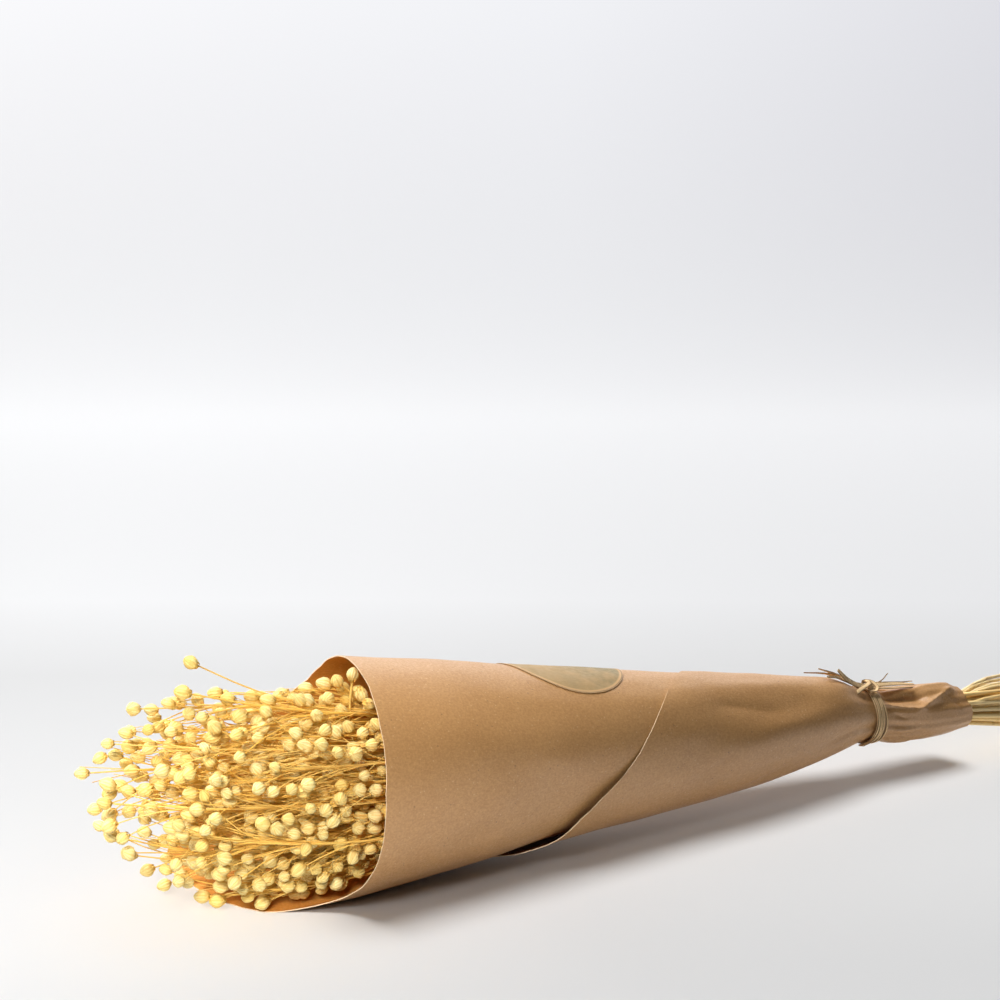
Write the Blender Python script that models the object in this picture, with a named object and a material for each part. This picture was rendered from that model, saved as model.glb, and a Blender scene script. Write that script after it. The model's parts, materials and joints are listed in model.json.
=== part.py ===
"""A bunch of dried flax, wrapped in a cone of kraft paper, tied with raffia and lying on a table.

The bunch lies along X: seed heads at -X, cut stems at +X, and Z is up from the table.
Sizes are in metres. Shapes are worked out in the cone's own frame, whose x is 0 at the
paper's mouth and whose y is 0 over the line on which the cone lies; BUNCH_MIDDLE then
centres the whole bunch on the origin.
"""

import math
import random

import bmesh
import bpy
import numpy as np
from mathutils import Matrix, Vector

BUNCH_MIDDLE = (0.1839, 0.0098)  # middle of the bunch along and across, in the cone's frame
GAP = 0.0004  # clear space between pieces that lie against each other
MERGE = 1e-7  # corners nearer than this are one corner

# Paper cone
MOUTH_RADIUS = 0.0600
PAPER_THICKNESS = 0.0008
BOTTOM_SINK = 0.0016  # how far the round bottom is pressed flat on the table
LIP_REACH = 0.0600  # how far the lower lip of the mouth lies out on the table
LIP_START = 0.0450  # where along the cone its far side begins to open out towards the lip
LIP_FLAT = 0.0620  # flat width of the lip, from under the cone to its far side
LIP_BEND = 0.0480  # bend where the lip turns up into the far side
LIP_FULL_ANGLE = 50  # up to this angle the far side lies open, and it closes by the next
LIP_NONE_ANGLE = 150
CONE_COLUMNS = 24
# along the bunch, outer radius, height of the middle
CONE_SECTIONS = [
    (-0.065, 0.0600, 0.0600),
    (0.000, 0.0600, 0.0600),
    (0.292, 0.0262, 0.0389),
    (0.312, 0.0230, 0.0378),
    (0.3205, 0.0180, 0.0380),
    (0.3285, 0.0150, 0.0384),
    (0.3385, 0.0150, 0.0376),
    (0.350, 0.0158, 0.0354),
    (0.370, 0.0158, 0.0336),
    (0.388, 0.0146, 0.0326),
    (0.405, 0.0120, 0.0315),
]
CONE_ROWS = [0.028, 0.060, 0.150, 0.292, 0.312, 0.3205, 0.3285, 0.3385, 0.350, 0.370, 0.388]
TAIL_END = 0.399
TAIL_END_SLANT = 0.003
PLEAT_COUNT = 5
PLEAT_START = 0.300
PLEAT_FULL = 0.360
PLEAT_DEPTH = 0.0009
# angle round the cone from its bottom (far side +, near side -), where the mouth's edge is
MOUTH_EDGE = [
    (-180, 0.0096),
    (-152, 0.0062),
    (-128, 0.0027),
    (-99, -0.0012),
    (-57, -0.0033),
    (-42, -0.0050),
    (-30, -0.0110),
    (-20, -0.0240),
    (-10, -0.0430),
    (0, -0.0500),
    (15, -0.0570),
    (45, -0.0600),
    (70, -0.0600),
    (90, -0.0460),
    (105, -0.0280),
    (118, -0.0080),
    (130, 0.0060),
    (142, 0.0100),
    (180, 0.0096),
]

# Free edge of the paper's outer turn: at what angle, where along the cone
SEAM = [
    (-19, 0.092),
    (-31, 0.104),
    (-48, 0.113),
    (-66, 0.124),
    (-83, 0.139),
    (-103, 0.155),
    (-130, 0.173),
    (-155, 0.193),
    (-182, 0.216),
    (-212, 0.244),
]
SEAM_START_ANGLE = -20
SEAM_END_ANGLE = -215
SEAM_LIP_WIDTH = 0.013
SEAM_STEP = 0.0009
SEAM_FOOT = 0.0005  # depth to which the edge is sunk in the turn below it
SEAM_ROOT = 0.0009  # the same where the edge has died away
SEAM_OPENING = 0.0018  # how far the edge stands off the cone at its loosest
SEAM_OPENING_AT = 0.114
SEAM_OPENING_LENGTH = 0.026

# Round label on top of the cone
LABEL_RADIUS = 0.0340
LABEL_THICKNESS = 0.0003
LABEL_AT = 0.131
LABEL_ANGLE = -186
LABEL_CLEARANCE = 0.0006
LABEL_STRIPS = 12

# Raffia tie
TIE_START = 0.3293
TIE_END = 0.3379
TIE_STRANDS = 3
TIE_DEPTH = 0.0013
TIE_GROOVE = 0.0004
KNOT_SIZE = (0.0042, 0.0036, 0.0024)
KNOT_AT = (0.3337, -0.0015, 0.0560)
TAIL_RADIUS = 0.0008
RAFFIA_ENDS = [
    [(0.3337, -0.0020, 0.0550), (0.3195, -0.0040, 0.0600), (0.3075, -0.0060, 0.0650), (0.2945, -0.0070, 0.0700)],
    [(0.3337, 0.0000, 0.0553), (0.3250, 0.0010, 0.0600), (0.3155, 0.0020, 0.0660)],
    [(0.3340, -0.0010, 0.0547), (0.3490, 0.0000, 0.0530), (0.3660, 0.0010, 0.0522)],
    [(0.3340, 0.0010, 0.0547), (0.3425, 0.0020, 0.0550), (0.3505, 0.0030, 0.0588)],
]

# Flax stalks
STALKS = 30
STEM_RADIUS_CUT = 0.00125
STEM_RADIUS_MOUTH = 0.00090
STEM_RADIUS_TIP = 0.00070
BRANCH_RADIUS = 0.00055
ROOT_RADIUS = 0.00025  # of a side branch inside its stem
NECK_SHARE = 1.15  # the stem begins to widen this many head radii before the head's middle
BOLL_RADIUS = 0.0039
BRANCHES = 5
BRANCH_LENGTH = (0.030, 0.062)
BRANCH_SPREAD = (0.20, 0.42)  # how far a branch leads away from its stem, of its length
CUT_END = 0.500
CUT_SPREAD = 0.016
FORK_START = 0.012
BOW_STEPS = 3  # pieces of the stem between its first fork and its tip
CLOUD_FRONT = -0.124
CLOUD_MARGIN = 0.004  # seed heads stand this far outside the ring of stems
STEM_TRIES = 400
TIP_TRIES = 14  # a tip moves by up to TIP_NUDGE more at each of this many tries to find room
TIP_NUDGE = 0.0003
DRIFT_TRIES = 8  # and the stem by up to STEM_DRIFT of the round section's radius
STEM_DRIFT = 0.008
GOLDEN_ANGLE = math.radians(137.508)
# along the bunch, height of the middle stem, radius of the ring of stem centres
STEM_GUIDE = [
    (-0.134, 0.0760, 0.0050),
    (-0.126, 0.0740, 0.0220),
    (-0.090, 0.0660, 0.0400),
    (-0.050, 0.0585, 0.0470),
    (0.000, 0.0540, 0.0460),
    (0.060, 0.0505, 0.0420),
    (0.150, 0.0445, 0.0320),
    (0.250, 0.0385, 0.0190),
    (0.312, 0.0378, 0.0122),
    (0.334, 0.0380, 0.0108),
    (0.370, 0.0337, 0.0106),
    (0.400, 0.0316, 0.0090),
    (0.431, 0.0290, 0.0122),
    (0.500, 0.0190, 0.0165),
]
STEM_STATIONS = [0.400, 0.370, 0.334, 0.110]
# seed heads that stand out of the bunch: along, across, height
OUTER_TIPS = [
    (-0.073, 0.0020, 0.1280),
    (-0.081, -0.0060, 0.1165),
    (-0.102, 0.0040, 0.1090),
    (-0.119, -0.0080, 0.0990),
    (-0.128, 0.0060, 0.0810),
    (-0.125, -0.0140, 0.0720),
    (-0.117, 0.0000, 0.0500),
    (-0.102, 0.0140, 0.0330),
    (-0.088, 0.0280, 0.0180),
    (-0.068, 0.0080, 0.0070),
    (-0.040, 0.0020, 0.1115),
    (0.010, -0.0010, 0.1100),
    (-0.036, -0.0060, 0.0075),
]

COLOURS = {
    "paper": (0.50, 0.32, 0.18),
    "label": (0.36, 0.29, 0.14),
    "raffia": (0.62, 0.43, 0.22),
    "flax": (0.80, 0.58, 0.24),
}
ROUGHNESS = {"paper": 0.85, "label": 0.7, "raffia": 0.7, "flax": 0.75}


def clear_scene():
    for old in list(bpy.data.objects):
        bpy.data.objects.remove(old, do_unlink=True)


def make_material(name):
    """Plain material in the finish's colour."""
    material = bpy.data.materials.new(name)
    material.use_nodes = True
    shader = material.node_tree.nodes["Principled BSDF"]
    shader.inputs["Base Color"].default_value = (*COLOURS[name], 1.0)
    shader.inputs["Roughness"].default_value = ROUGHNESS[name]
    shader.inputs["Metallic"].default_value = 0.0
    return material


def along_table(table, x, column):
    """Value of a table's column at x, straight between its rows."""
    return float(np.interp(x, [row[0] for row in table], [row[column] for row in table]))


def smooth_step(t):
    t = min(max(t, 0.0), 1.0)
    return t * t * (3 - 2 * t)


def wrap_angle(degrees):
    """The same direction between -180 and 180 degrees."""
    return (degrees + 180) % 360 - 180


def cone_point(x, angle, lift=0.0):
    """Point of the paper's outer face at x and an angle from the bottom, lifted off it by lift."""
    turn = math.radians(wrap_angle(angle))
    pleat = PLEAT_DEPTH * smooth_step((x - PLEAT_START) / (PLEAT_FULL - PLEAT_START))
    radius = along_table(CONE_SECTIONS, x, 1) + lift - pleat * (1 + math.cos(PLEAT_COUNT * turn + 1.0)) / 2
    middle = along_table(CONE_SECTIONS, x, 2)
    y = radius * math.sin(turn)
    z = middle - radius * math.cos(turn)
    pressed = 1 - smooth_step((abs(math.degrees(turn)) - 13) / 32)
    z -= BOTTOM_SINK * pressed * (1 - smooth_step(x / 0.060))
    if turn > 0:
        share = smooth_step((LIP_START - x) / (LIP_START + LIP_REACH))
        angles = LIP_NONE_ANGLE - LIP_FULL_ANGLE
        share *= 1 - smooth_step((math.degrees(turn) - LIP_FULL_ANGLE) / angles)
        arc = MOUTH_RADIUS * turn
        rise = max(0.0, arc - LIP_FLAT) / LIP_BEND
        y += share * (min(arc, LIP_FLAT) + LIP_BEND * math.sin(rise) - y)
        z += share * (LIP_BEND * (1 - math.cos(rise)) - z)
    return Vector((x, y, max(z, 0.0)))


def place(point):
    """From the cone's frame to the bunch's."""
    return Vector((point[0] - BUNCH_MIDDLE[0], point[1] - BUNCH_MIDDLE[1], point[2]))


def tidy(bm):
    """Triangulates the mesh, joins corners that lie together and turns all faces outwards."""
    bmesh.ops.remove_doubles(bm, verts=bm.verts, dist=MERGE)
    bmesh.ops.triangulate(bm, faces=bm.faces)
    bmesh.ops.recalc_face_normals(bm, faces=bm.faces)


def mesh_from(name, bm):
    mesh = bpy.data.meshes.new(name)
    bm.to_mesh(mesh)
    bm.free()
    return mesh


def union(name, meshes, solver="EXACT"):
    """One closed mesh from solids that reach into each other."""
    helpers = [bpy.data.objects.new(f"{name}_part", mesh) for mesh in meshes]
    for helper in helpers:
        bpy.context.scene.collection.objects.link(helper)
    for helper in helpers[1:]:
        joint = helpers[0].modifiers.new("union", "BOOLEAN")
        joint.operation = "UNION"
        joint.solver = solver
        joint.object = helper
    graph = bpy.context.evaluated_depsgraph_get()
    graph.update()
    bm = bmesh.new()
    bm.from_mesh(helpers[0].evaluated_get(graph).data)
    tidy(bm)
    for helper in helpers:
        bpy.data.objects.remove(helper, do_unlink=True)
    return mesh_from(name, bm)


def add_piece(name, mesh, material, sharp=40):
    """Links one finished piece, shaded smooth but for edges sharper than the given angle."""
    mesh.shade_smooth()
    mesh.set_sharp_from_angle(angle=math.radians(sharp))
    mesh.materials.clear()
    mesh.materials.append(material)
    piece = bpy.data.objects.new(name, mesh)
    bpy.context.scene.collection.objects.link(piece)
    return piece


def close_rings(bm, rings, cap_start=True, cap_end=True):
    """Joins equal rings of corners one after another and closes the two ends."""
    count = len(rings[0])
    for first, second in zip(rings, rings[1:]):
        for k in range(count):
            n = (k + 1) % count
            bm.faces.new((first[k], first[n], second[n], second[k]))
    if cap_start:
        bm.faces.new(list(reversed(rings[0])))
    if cap_end:
        bm.faces.new(rings[-1])
    bmesh.ops.triangulate(bm, faces=bm.faces)


def rod_rings(bm, points, radii):
    """Three-cornered rings along a rod, with its own radius at each point."""
    rings = []
    for i, point in enumerate(points):
        before, after = points[max(i - 1, 0)], points[min(i + 1, len(points) - 1)]
        forward = (after - before).normalized()
        side = forward.cross(Vector((0, 0, 1))).normalized()
        up = side.cross(forward)
        ring = []
        for k in range(3):
            turn = 2 * math.pi * (k + 0.25) / 3
            ring.append(bm.verts.new(point + radii[i] * (math.cos(turn) * side + math.sin(turn) * up)))
        rings.append(ring)
    return rings


def rod_mesh(name, points, radii):
    """Closed three-sided rod."""
    bm = bmesh.new()
    close_rings(bm, rod_rings(bm, [place(p) for p in points], radii))
    bmesh.ops.recalc_face_normals(bm, faces=bm.faces)
    return mesh_from(name, bm)


def headed_rod_mesh(name, points, radii):
    """Closed three-sided rod that widens into a seed head round its last point."""
    bm = bmesh.new()
    points = [place(p) for p in points]
    centre = points[-1]
    heading = (centre - points[-2]).normalized()
    rings = rod_rings(bm, points[:-1] + [centre - heading * BOLL_RADIUS * NECK_SHARE], radii)
    close_rings(bm, rings, cap_end=False)
    ball = bmesh.ops.create_icosphere(bm, subdivisions=1, radius=BOLL_RADIUS)["verts"]
    face = ball[0].link_faces[0]
    normal = face.calc_center_median().normalized()
    turn = normal.rotation_difference(-heading).to_matrix()
    corner = turn @ face.verts[0].co
    corner -= heading * corner.dot(heading)
    spoke = rings[-1][0].co - (centre - heading * BOLL_RADIUS * NECK_SHARE)
    spoke -= heading * spoke.dot(heading)
    turn = corner.rotation_difference(spoke).to_matrix() @ turn
    bmesh.ops.transform(bm, matrix=Matrix.Translation(centre) @ turn.to_4x4(), verts=ball)
    corners = list(face.verts)
    bmesh.ops.delete(bm, geom=[face], context="FACES_ONLY")
    rim = [min(corners, key=lambda c: (c.co - v.co).length) for v in rings[-1]]
    for k in range(3):
        n = (k + 1) % 3
        bm.faces.new((rings[-1][k], rings[-1][n], rim[n], rim[k]))
    bmesh.ops.triangulate(bm, faces=bm.faces)
    bmesh.ops.recalc_face_normals(bm, faces=bm.faces)
    return mesh_from(name, bm)


def ball_mesh(name, centre, radii):
    """Twenty-sided ball, stretched to three radii."""
    bm = bmesh.new()
    bmesh.ops.create_icosphere(bm, subdivisions=1, radius=1.0)
    scale = Matrix.Diagonal((*radii, 1.0))
    bmesh.ops.transform(bm, matrix=Matrix.Translation(place(centre)) @ scale, verts=bm.verts)
    return mesh_from(name, bm)


def cone_angles():
    """Angles of the cone's corners, closer together at the tip of the lower lip."""
    step = 360 / CONE_COLUMNS
    angles = [step * k - 180 for k in range(CONE_COLUMNS)]
    angles.remove(min(angles, key=lambda a: abs(a + step)))
    return sorted(angles + [-10.0, -20.0])


def paper_wall():
    """The rolled paper as one wall, from the slanted mouth to the end of the gathered tail."""
    bm = bmesh.new()
    angles = cone_angles()
    rows = []
    for k in range(-2, len(CONE_ROWS) + 1):
        row = []
        for angle in angles:
            edge = along_table(MOUTH_EDGE, angle, 1)
            if k == -2:
                x = edge
            elif k == -1:
                x = (edge + CONE_ROWS[0]) / 2
            elif k == len(CONE_ROWS):
                x = TAIL_END + TAIL_END_SLANT * math.cos(math.radians(angle + 60))
            else:
                x = CONE_ROWS[k]
            row.append(bm.verts.new(place(cone_point(x, angle))))
        rows.append(row)
    close_rings(bm, rows, cap_start=False, cap_end=False)
    wall = bpy.data.objects.new("wall", mesh_from("wall", bm))
    bpy.context.scene.collection.objects.link(wall)
    thickness = wall.modifiers.new("thickness", "SOLIDIFY")
    thickness.thickness = PAPER_THICKNESS
    thickness.offset = -1.0
    thickness.use_even_offset = True
    graph = bpy.context.evaluated_depsgraph_get()
    graph.update()
    bm = bmesh.new()
    bm.from_mesh(wall.evaluated_get(graph).data)
    bmesh.ops.triangulate(bm, faces=bm.faces)
    bpy.data.objects.remove(wall, do_unlink=True)
    return mesh_from("paper_wall", bm)


def seam_lip():
    """The outer turn's free edge: a thin wedge that stands off the cone and dies away behind."""
    bm = bmesh.new()
    rings = []
    angles = [a for a in cone_angles() if a <= SEAM_START_ANGLE]
    angles = sorted(angles + [a - 360 for a in cone_angles() if a - 360 > SEAM_END_ANGLE], reverse=True)
    path = [(along_table(SEAM[::-1], a, 1), a) for a in angles]
    for i, (x, angle) in enumerate(path):
        before, after = path[max(i - 1, 0)], path[min(i + 1, len(path) - 1)]
        radius = along_table(CONE_SECTIONS, x, 1)
        along = after[0] - before[0]
        across = radius * math.radians(before[1] - after[1])
        length = math.hypot(along, across)
        back_x = SEAM_LIP_WIDTH * across / length
        back_angle = math.degrees(SEAM_LIP_WIDTH * along / length / radius)
        opening = SEAM_OPENING * math.exp(-(((x - SEAM_OPENING_AT) / SEAM_OPENING_LENGTH) ** 2))
        corners = [
            cone_point(x, angle, SEAM_STEP + opening),
            cone_point(x, angle, -SEAM_FOOT),
            cone_point(x + back_x, angle + back_angle, -SEAM_ROOT),
        ]
        rings.append([bm.verts.new(place(p)) for p in corners])
    close_rings(bm, rings)
    bmesh.ops.recalc_face_normals(bm, faces=bm.faces)
    return mesh_from("seam_lip", bm)


def build_paper(material):
    add_piece("paper_wrap", union("paper_wrap", [paper_wall(), seam_lip()]), material)


def build_label(material):
    """Round sticker that follows the top of the cone."""
    bm = bmesh.new()
    radius = along_table(CONE_SECTIONS, LABEL_AT, 1)
    rings = []
    for k in range(LABEL_STRIPS + 1):
        across = -LABEL_RADIUS * math.cos(math.pi * (k + 0.25) / (LABEL_STRIPS + 0.5))
        half = math.sqrt(LABEL_RADIUS**2 - across**2)
        angle = LABEL_ANGLE + math.degrees(across / radius)
        ring = []
        for x, lift in (
            (LABEL_AT - half, LABEL_CLEARANCE),
            (LABEL_AT + half, LABEL_CLEARANCE),
            (LABEL_AT + half, LABEL_CLEARANCE + LABEL_THICKNESS),
            (LABEL_AT - half, LABEL_CLEARANCE + LABEL_THICKNESS),
        ):
            ring.append(bm.verts.new(place(cone_point(x, angle, lift))))
        rings.append(ring)
    close_rings(bm, rings)
    tidy(bm)
    add_piece("round_label", mesh_from("round_label", bm), material)


def tie_band():
    """Raffia wound round the neck: strands side by side, with grooves between them."""
    bm = bmesh.new()
    steps = 2 * TIE_STRANDS
    columns = []
    for angle in cone_angles():
        ring = []
        for k in range(steps + 1):
            x = TIE_START + (TIE_END - TIE_START) * k / steps
            depth = TIE_DEPTH if k % 2 else TIE_DEPTH - TIE_GROOVE
            ring.append(cone_point(x, angle, GAP + depth))
        ring.append(cone_point(TIE_END, angle, GAP))
        ring.append(cone_point(TIE_START, angle, GAP))
        columns.append([bm.verts.new(place(p)) for p in ring])
    close_rings(bm, columns + [columns[0]], cap_start=False, cap_end=False)
    tidy(bm)
    return mesh_from("tie_band", bm)


def build_tie(material):
    parts = [tie_band(), ball_mesh("knot", KNOT_AT, KNOT_SIZE)]
    for points in RAFFIA_ENDS:
        radii = [TAIL_RADIUS] * (len(points) - 1) + [TAIL_RADIUS * 0.5]
        parts.append(rod_mesh("raffia_end", points, radii))
    add_piece("raffia_tie", union("raffia_tie", parts), material)


class Room:
    """The space that stalks have taken so far, as rods with round ends."""

    def __init__(self):
        self.starts = np.zeros((0, 3))
        self.ends = np.zeros((0, 3))
        self.radii = np.zeros(0)
        self.owners = np.zeros(0)

    def add(self, rods, owner=0):
        for start, end, radius in rods:
            self.starts = np.vstack([self.starts, np.array(start)])
            self.ends = np.vstack([self.ends, np.array(end)])
            self.radii = np.append(self.radii, radius)
            self.owners = np.append(self.owners, owner)

    def free(self, rods, owner=None):
        """Whether no rod comes nearer than GAP to those already there, the owner's left out."""
        others = self.owners != owner
        for start, end, radius in rods:
            reach = self.nearest(np.array(start), np.array(end)) - self.radii - radius
            if (reach[others] < GAP).any():
                return False
        return True

    def nearest(self, start, end):
        """Distance from one rod's middle line to every other's."""
        d1, d2, r = end - start, self.ends - self.starts, start - self.starts
        a, e = max(d1 @ d1, 1e-12), np.maximum((d2 * d2).sum(1), 1e-12)
        b, c, f = d2 @ d1, r @ d1, (d2 * r).sum(1)
        s = np.clip((b * f - c * e) / np.maximum(a * e - b * b, 1e-14), 0, 1)
        t = np.clip((b * s + f) / e, 0, 1)
        s = np.clip((b * t - c) / a, 0, 1)
        gap = (start + s[:, None] * d1) - (self.starts + t[:, None] * d2)
        return np.sqrt((gap * gap).sum(1))


def guide_point(x, across, up):
    """Point of the bunch at x for a stalk whose place in the round section is (across, up)."""
    radius = along_table(STEM_GUIDE, x, 2)
    return Vector((x, across * radius, along_table(STEM_GUIDE, x, 1) + up * radius))


def curve_points(start, bend, end, count):
    """Points of a bow from start to end that leaves towards bend."""
    points = []
    for k in range(count + 1):
        t = k / count
        points.append((1 - t) ** 2 * start + 2 * t * (1 - t) * bend + t * t * end)
    return points


def rods_of(points, radii):
    return [(a, b, max(ra, rb)) for a, b, ra, rb in zip(points, points[1:], radii, radii[1:])]


def inside_cloud(point):
    """Whether a seed head's middle lies in the rounded cloud of heads and above the table and lip."""
    radius = along_table(STEM_GUIDE, point.x, 2) + CLOUD_MARGIN
    middle = along_table(STEM_GUIDE, point.x, 1)
    low = PAPER_THICKNESS + BOLL_RADIUS + GAP
    return point.x > CLOUD_FRONT and math.hypot(point.y, point.z - middle) < radius and point.z > low


def stalk_places():
    """Where each stalk stands in the round section, evenly spread like seeds in a head."""
    places = []
    for k in range(STALKS):
        radius = math.sqrt((k + 0.5) / (STALKS - 0.5))
        places.append((radius * math.cos(k * GOLDEN_ANGLE), radius * math.sin(k * GOLDEN_ANGLE)))
    return places


def tip_places(chance):
    """A tip for each stalk: the heads that stand out, and the rest spread through the cloud."""
    places = stalk_places()
    tips = {}
    for tip in OUTER_TIPS:
        radius = along_table(STEM_GUIDE, tip[0], 2)
        at = (tip[1] / radius, (tip[2] - along_table(STEM_GUIDE, tip[0], 1)) / radius)
        free = [k for k in range(STALKS) if k not in tips]
        near = min(free, key=lambda k: math.dist(places[k], at))
        tips[near] = Vector(tip)
    for k in range(STALKS):
        if k not in tips:
            tips[k] = guide_point(chance.uniform(-0.105, -0.030), *places[k])
    return places, tips


def grow_stem(room, stand, tip, chance):
    """Points, radii and rods of one stem from its cut end to its tip, clear of those there."""
    for attempt in range(STEM_TRIES):
        drift = STEM_DRIFT * min(attempt, DRIFT_TRIES)
        across = stand[0] + chance.uniform(-drift, drift)
        up = stand[1] + chance.uniform(-drift, drift)
        cut = CUT_END - CUT_SPREAD * chance.random()
        points = [guide_point(x, across, up) for x in [cut, *STEM_STATIONS]]
        points[0].z = max(points[0].z, STEM_RADIUS_CUT)
        fork = guide_point(FORK_START + chance.uniform(-0.01, 0.02), across, up)
        nudge = TIP_NUDGE * min(attempt, TIP_TRIES)
        end = tip + Vector([chance.uniform(-nudge, nudge) for _ in range(3)])
        end.z = max(end.z, PAPER_THICKNESS + BOLL_RADIUS + GAP)
        heading = (fork - points[-1]).normalized()
        bow = fork + heading * (end - fork).length * 0.5
        points += curve_points(fork, bow, end, BOW_STEPS)
        radii = [STEM_RADIUS_CUT] * (len(STEM_STATIONS) - 1)
        radii += [STEM_RADIUS_MOUTH] * (len(points) - len(radii) - BOW_STEPS)
        radii += [STEM_RADIUS_TIP] * BOW_STEPS
        rods = rods_of(points, radii)
        rods.append((end, end, BOLL_RADIUS))
        if room.free(rods):
            return points, radii, rods
    return None


def grow_branch(room, own, owner, stem, chance):
    """Points and rods of one side branch with its head, clear of other stalks and its own heads."""
    for _ in range(400):
        share = chance.uniform(0.1, 0.8) * BOW_STEPS
        piece = int(share)
        first, second = stem[piece - BOW_STEPS - 1], stem[piece - BOW_STEPS]
        root = first.lerp(second, share - piece)
        heading = (second - first).normalized()
        length = chance.uniform(*BRANCH_LENGTH)
        turn = chance.uniform(0, 2 * math.pi)
        side = heading.cross(Vector((0, 0, 1))).normalized()
        away = math.cos(turn) * side + math.sin(turn) * side.cross(heading)
        head = root + heading * length + away * length * chance.uniform(*BRANCH_SPREAD)
        if not inside_cloud(head):
            continue
        rods = [(root.lerp(head, 0.2), head, BRANCH_RADIUS), (head, head, BOLL_RADIUS)]
        if room.free(rods, owner) and own.free(rods):
            return [root, head], rods
    return None


def build_stalks(material):
    """Every stalk of the bunch: a stem, its side branches and a seed head on each tip."""
    chance = random.Random(7)
    places, tips = tip_places(chance)
    room = Room()
    stems = {}
    for k, tip in tips.items():
        stem = grow_stem(room, places[k], tip, chance)
        if stem:
            stems[k] = stem
            room.add(stem[2], k)
    for number, (k, (points, radii, rods)) in enumerate(stems.items(), 1):
        parts = [headed_rod_mesh("stem", points, radii)]
        own = Room()
        own.add(rods[-1:])
        for _ in range(BRANCHES):
            branch = grow_branch(room, own, k, points, chance)
            if branch:
                own.add(branch[1])
                room.add(branch[1], k)
                parts.append(headed_rod_mesh("branch", branch[0], [ROOT_RADIUS, BRANCH_RADIUS]))
        name = f"flax_stalk_{number:02d}"
        add_piece(name, union(name, parts, solver="MANIFOLD"), material)


def main():
    clear_scene()
    materials = {name: make_material(name) for name in COLOURS}
    build_paper(materials["paper"])
    build_label(materials["label"])
    build_tie(materials["raffia"])
    build_stalks(materials["flax"])


main()
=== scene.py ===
"""Dresses the bunch of dried flax in its kraft paper cone, and sets it on a pale table.

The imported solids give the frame. Every piece here stands in the same place as the solid it
dresses: the paper cone, the round label, the raffia tie and the stalks with their seed heads.
The shapes are worked out in the cone's own frame, where x is 0 at the paper's mouth and y is 0
over the line on which the cone lies, and are then moved to the bunch's middle.
"""

import json
import logging
import math
import random
from collections.abc import Callable, Iterable, Sequence
from dataclasses import dataclass, field
from enum import Enum

import bpy
import numpy as np
from mathutils import Matrix, Vector, noise

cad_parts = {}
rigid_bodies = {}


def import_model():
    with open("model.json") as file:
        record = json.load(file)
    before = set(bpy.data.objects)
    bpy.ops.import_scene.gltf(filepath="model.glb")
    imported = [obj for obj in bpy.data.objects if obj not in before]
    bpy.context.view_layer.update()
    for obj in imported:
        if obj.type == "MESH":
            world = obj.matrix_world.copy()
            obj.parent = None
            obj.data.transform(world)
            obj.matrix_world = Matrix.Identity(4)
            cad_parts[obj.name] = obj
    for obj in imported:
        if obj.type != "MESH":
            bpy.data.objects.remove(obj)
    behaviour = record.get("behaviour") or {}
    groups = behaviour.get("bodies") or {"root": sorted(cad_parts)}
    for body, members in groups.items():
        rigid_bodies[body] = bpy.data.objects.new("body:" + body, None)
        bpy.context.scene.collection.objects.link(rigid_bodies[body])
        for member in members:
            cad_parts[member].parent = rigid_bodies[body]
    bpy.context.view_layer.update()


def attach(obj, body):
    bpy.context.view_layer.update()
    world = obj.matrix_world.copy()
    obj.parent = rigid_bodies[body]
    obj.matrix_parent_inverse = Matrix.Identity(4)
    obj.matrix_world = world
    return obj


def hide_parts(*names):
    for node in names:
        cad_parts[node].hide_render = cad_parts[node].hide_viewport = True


log = logging.getLogger("flax_bunch")

Piece = bpy.types.Object
Material = bpy.types.Material
Socket = bpy.types.NodeSocket
Table = tuple[tuple[float, ...], ...]
Span = tuple[float, float]
Place = tuple[float, float, float]
Colour = tuple[float, float, float]
Rod = tuple[Vector, Vector, float]

GAP: float = 0.0004
GOLDEN_ANGLE: float = math.radians(137.508)
CAMERA_YAW: float = 30.39
UP: Vector = Vector((0, 0, 1))


class HeadForm(Enum):
    """The forms in which a dried seed head is found: how wide, how long and how ribbed it is."""

    PLUMP = (1.00, 1.00, 0.10)
    LONG = (0.96, 1.05, 0.12)
    SMALL = (0.86, 0.90, 0.08)


class Tint(Enum):
    """What the channels of a flax mesh's colour attribute hold, point by point."""

    TONE = 0
    REACH = 1
    RIB = 2


# Shared helpers


def along_table(table: Table, x: float, column: int) -> float:
    """Read a table's column at x, straight between its rows."""
    return float(np.interp(x, [row[0] for row in table], [row[column] for row in table]))


def smooth_step(t: float) -> float:
    """Ease from 0 to 1 as t goes from 0 to 1."""
    t = min(max(t, 0.0), 1.0)
    return t * t * (3 - 2 * t)


def ease(value: float, start: float, end: float) -> float:
    """Ease from 0 to 1 as a value goes from start to end."""
    return smooth_step((value - start) / (end - start))


def wrap_angle(degrees: float) -> float:
    """Give the same direction between -180 and 180 degrees."""
    return (degrees + 180) % 360 - 180


def choose_only(piece: Piece) -> None:
    """Deselect everything but one object and make it the active one."""
    bpy.ops.object.select_all(action="DESELECT")
    piece.select_set(True)
    bpy.context.view_layer.objects.active = piece


def add_mesh(primitive: Callable[..., object], name: str, **sizes: object) -> Piece:
    """Add a primitive with nothing else selected, and name it.

    Args:
        primitive: The operator that adds it.
        name: The object's name.
        sizes: The operator's settings.

    Returns:
        The new object.
    """
    bpy.ops.object.select_all(action="DESELECT")
    primitive(**sizes)
    piece = bpy.context.active_object
    piece.name = name
    return piece


def edit_all(piece: Piece, change: Callable[[], object]) -> None:
    """Select the whole of a piece in edit mode and change it there.

    Args:
        piece: The mesh object.
        change: The operator or function that changes what is selected.
    """
    choose_only(piece)
    bpy.ops.object.mode_set(mode="EDIT")
    bpy.ops.mesh.select_all(action="SELECT")
    change()
    bpy.ops.object.mode_set(mode="OBJECT")


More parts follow.
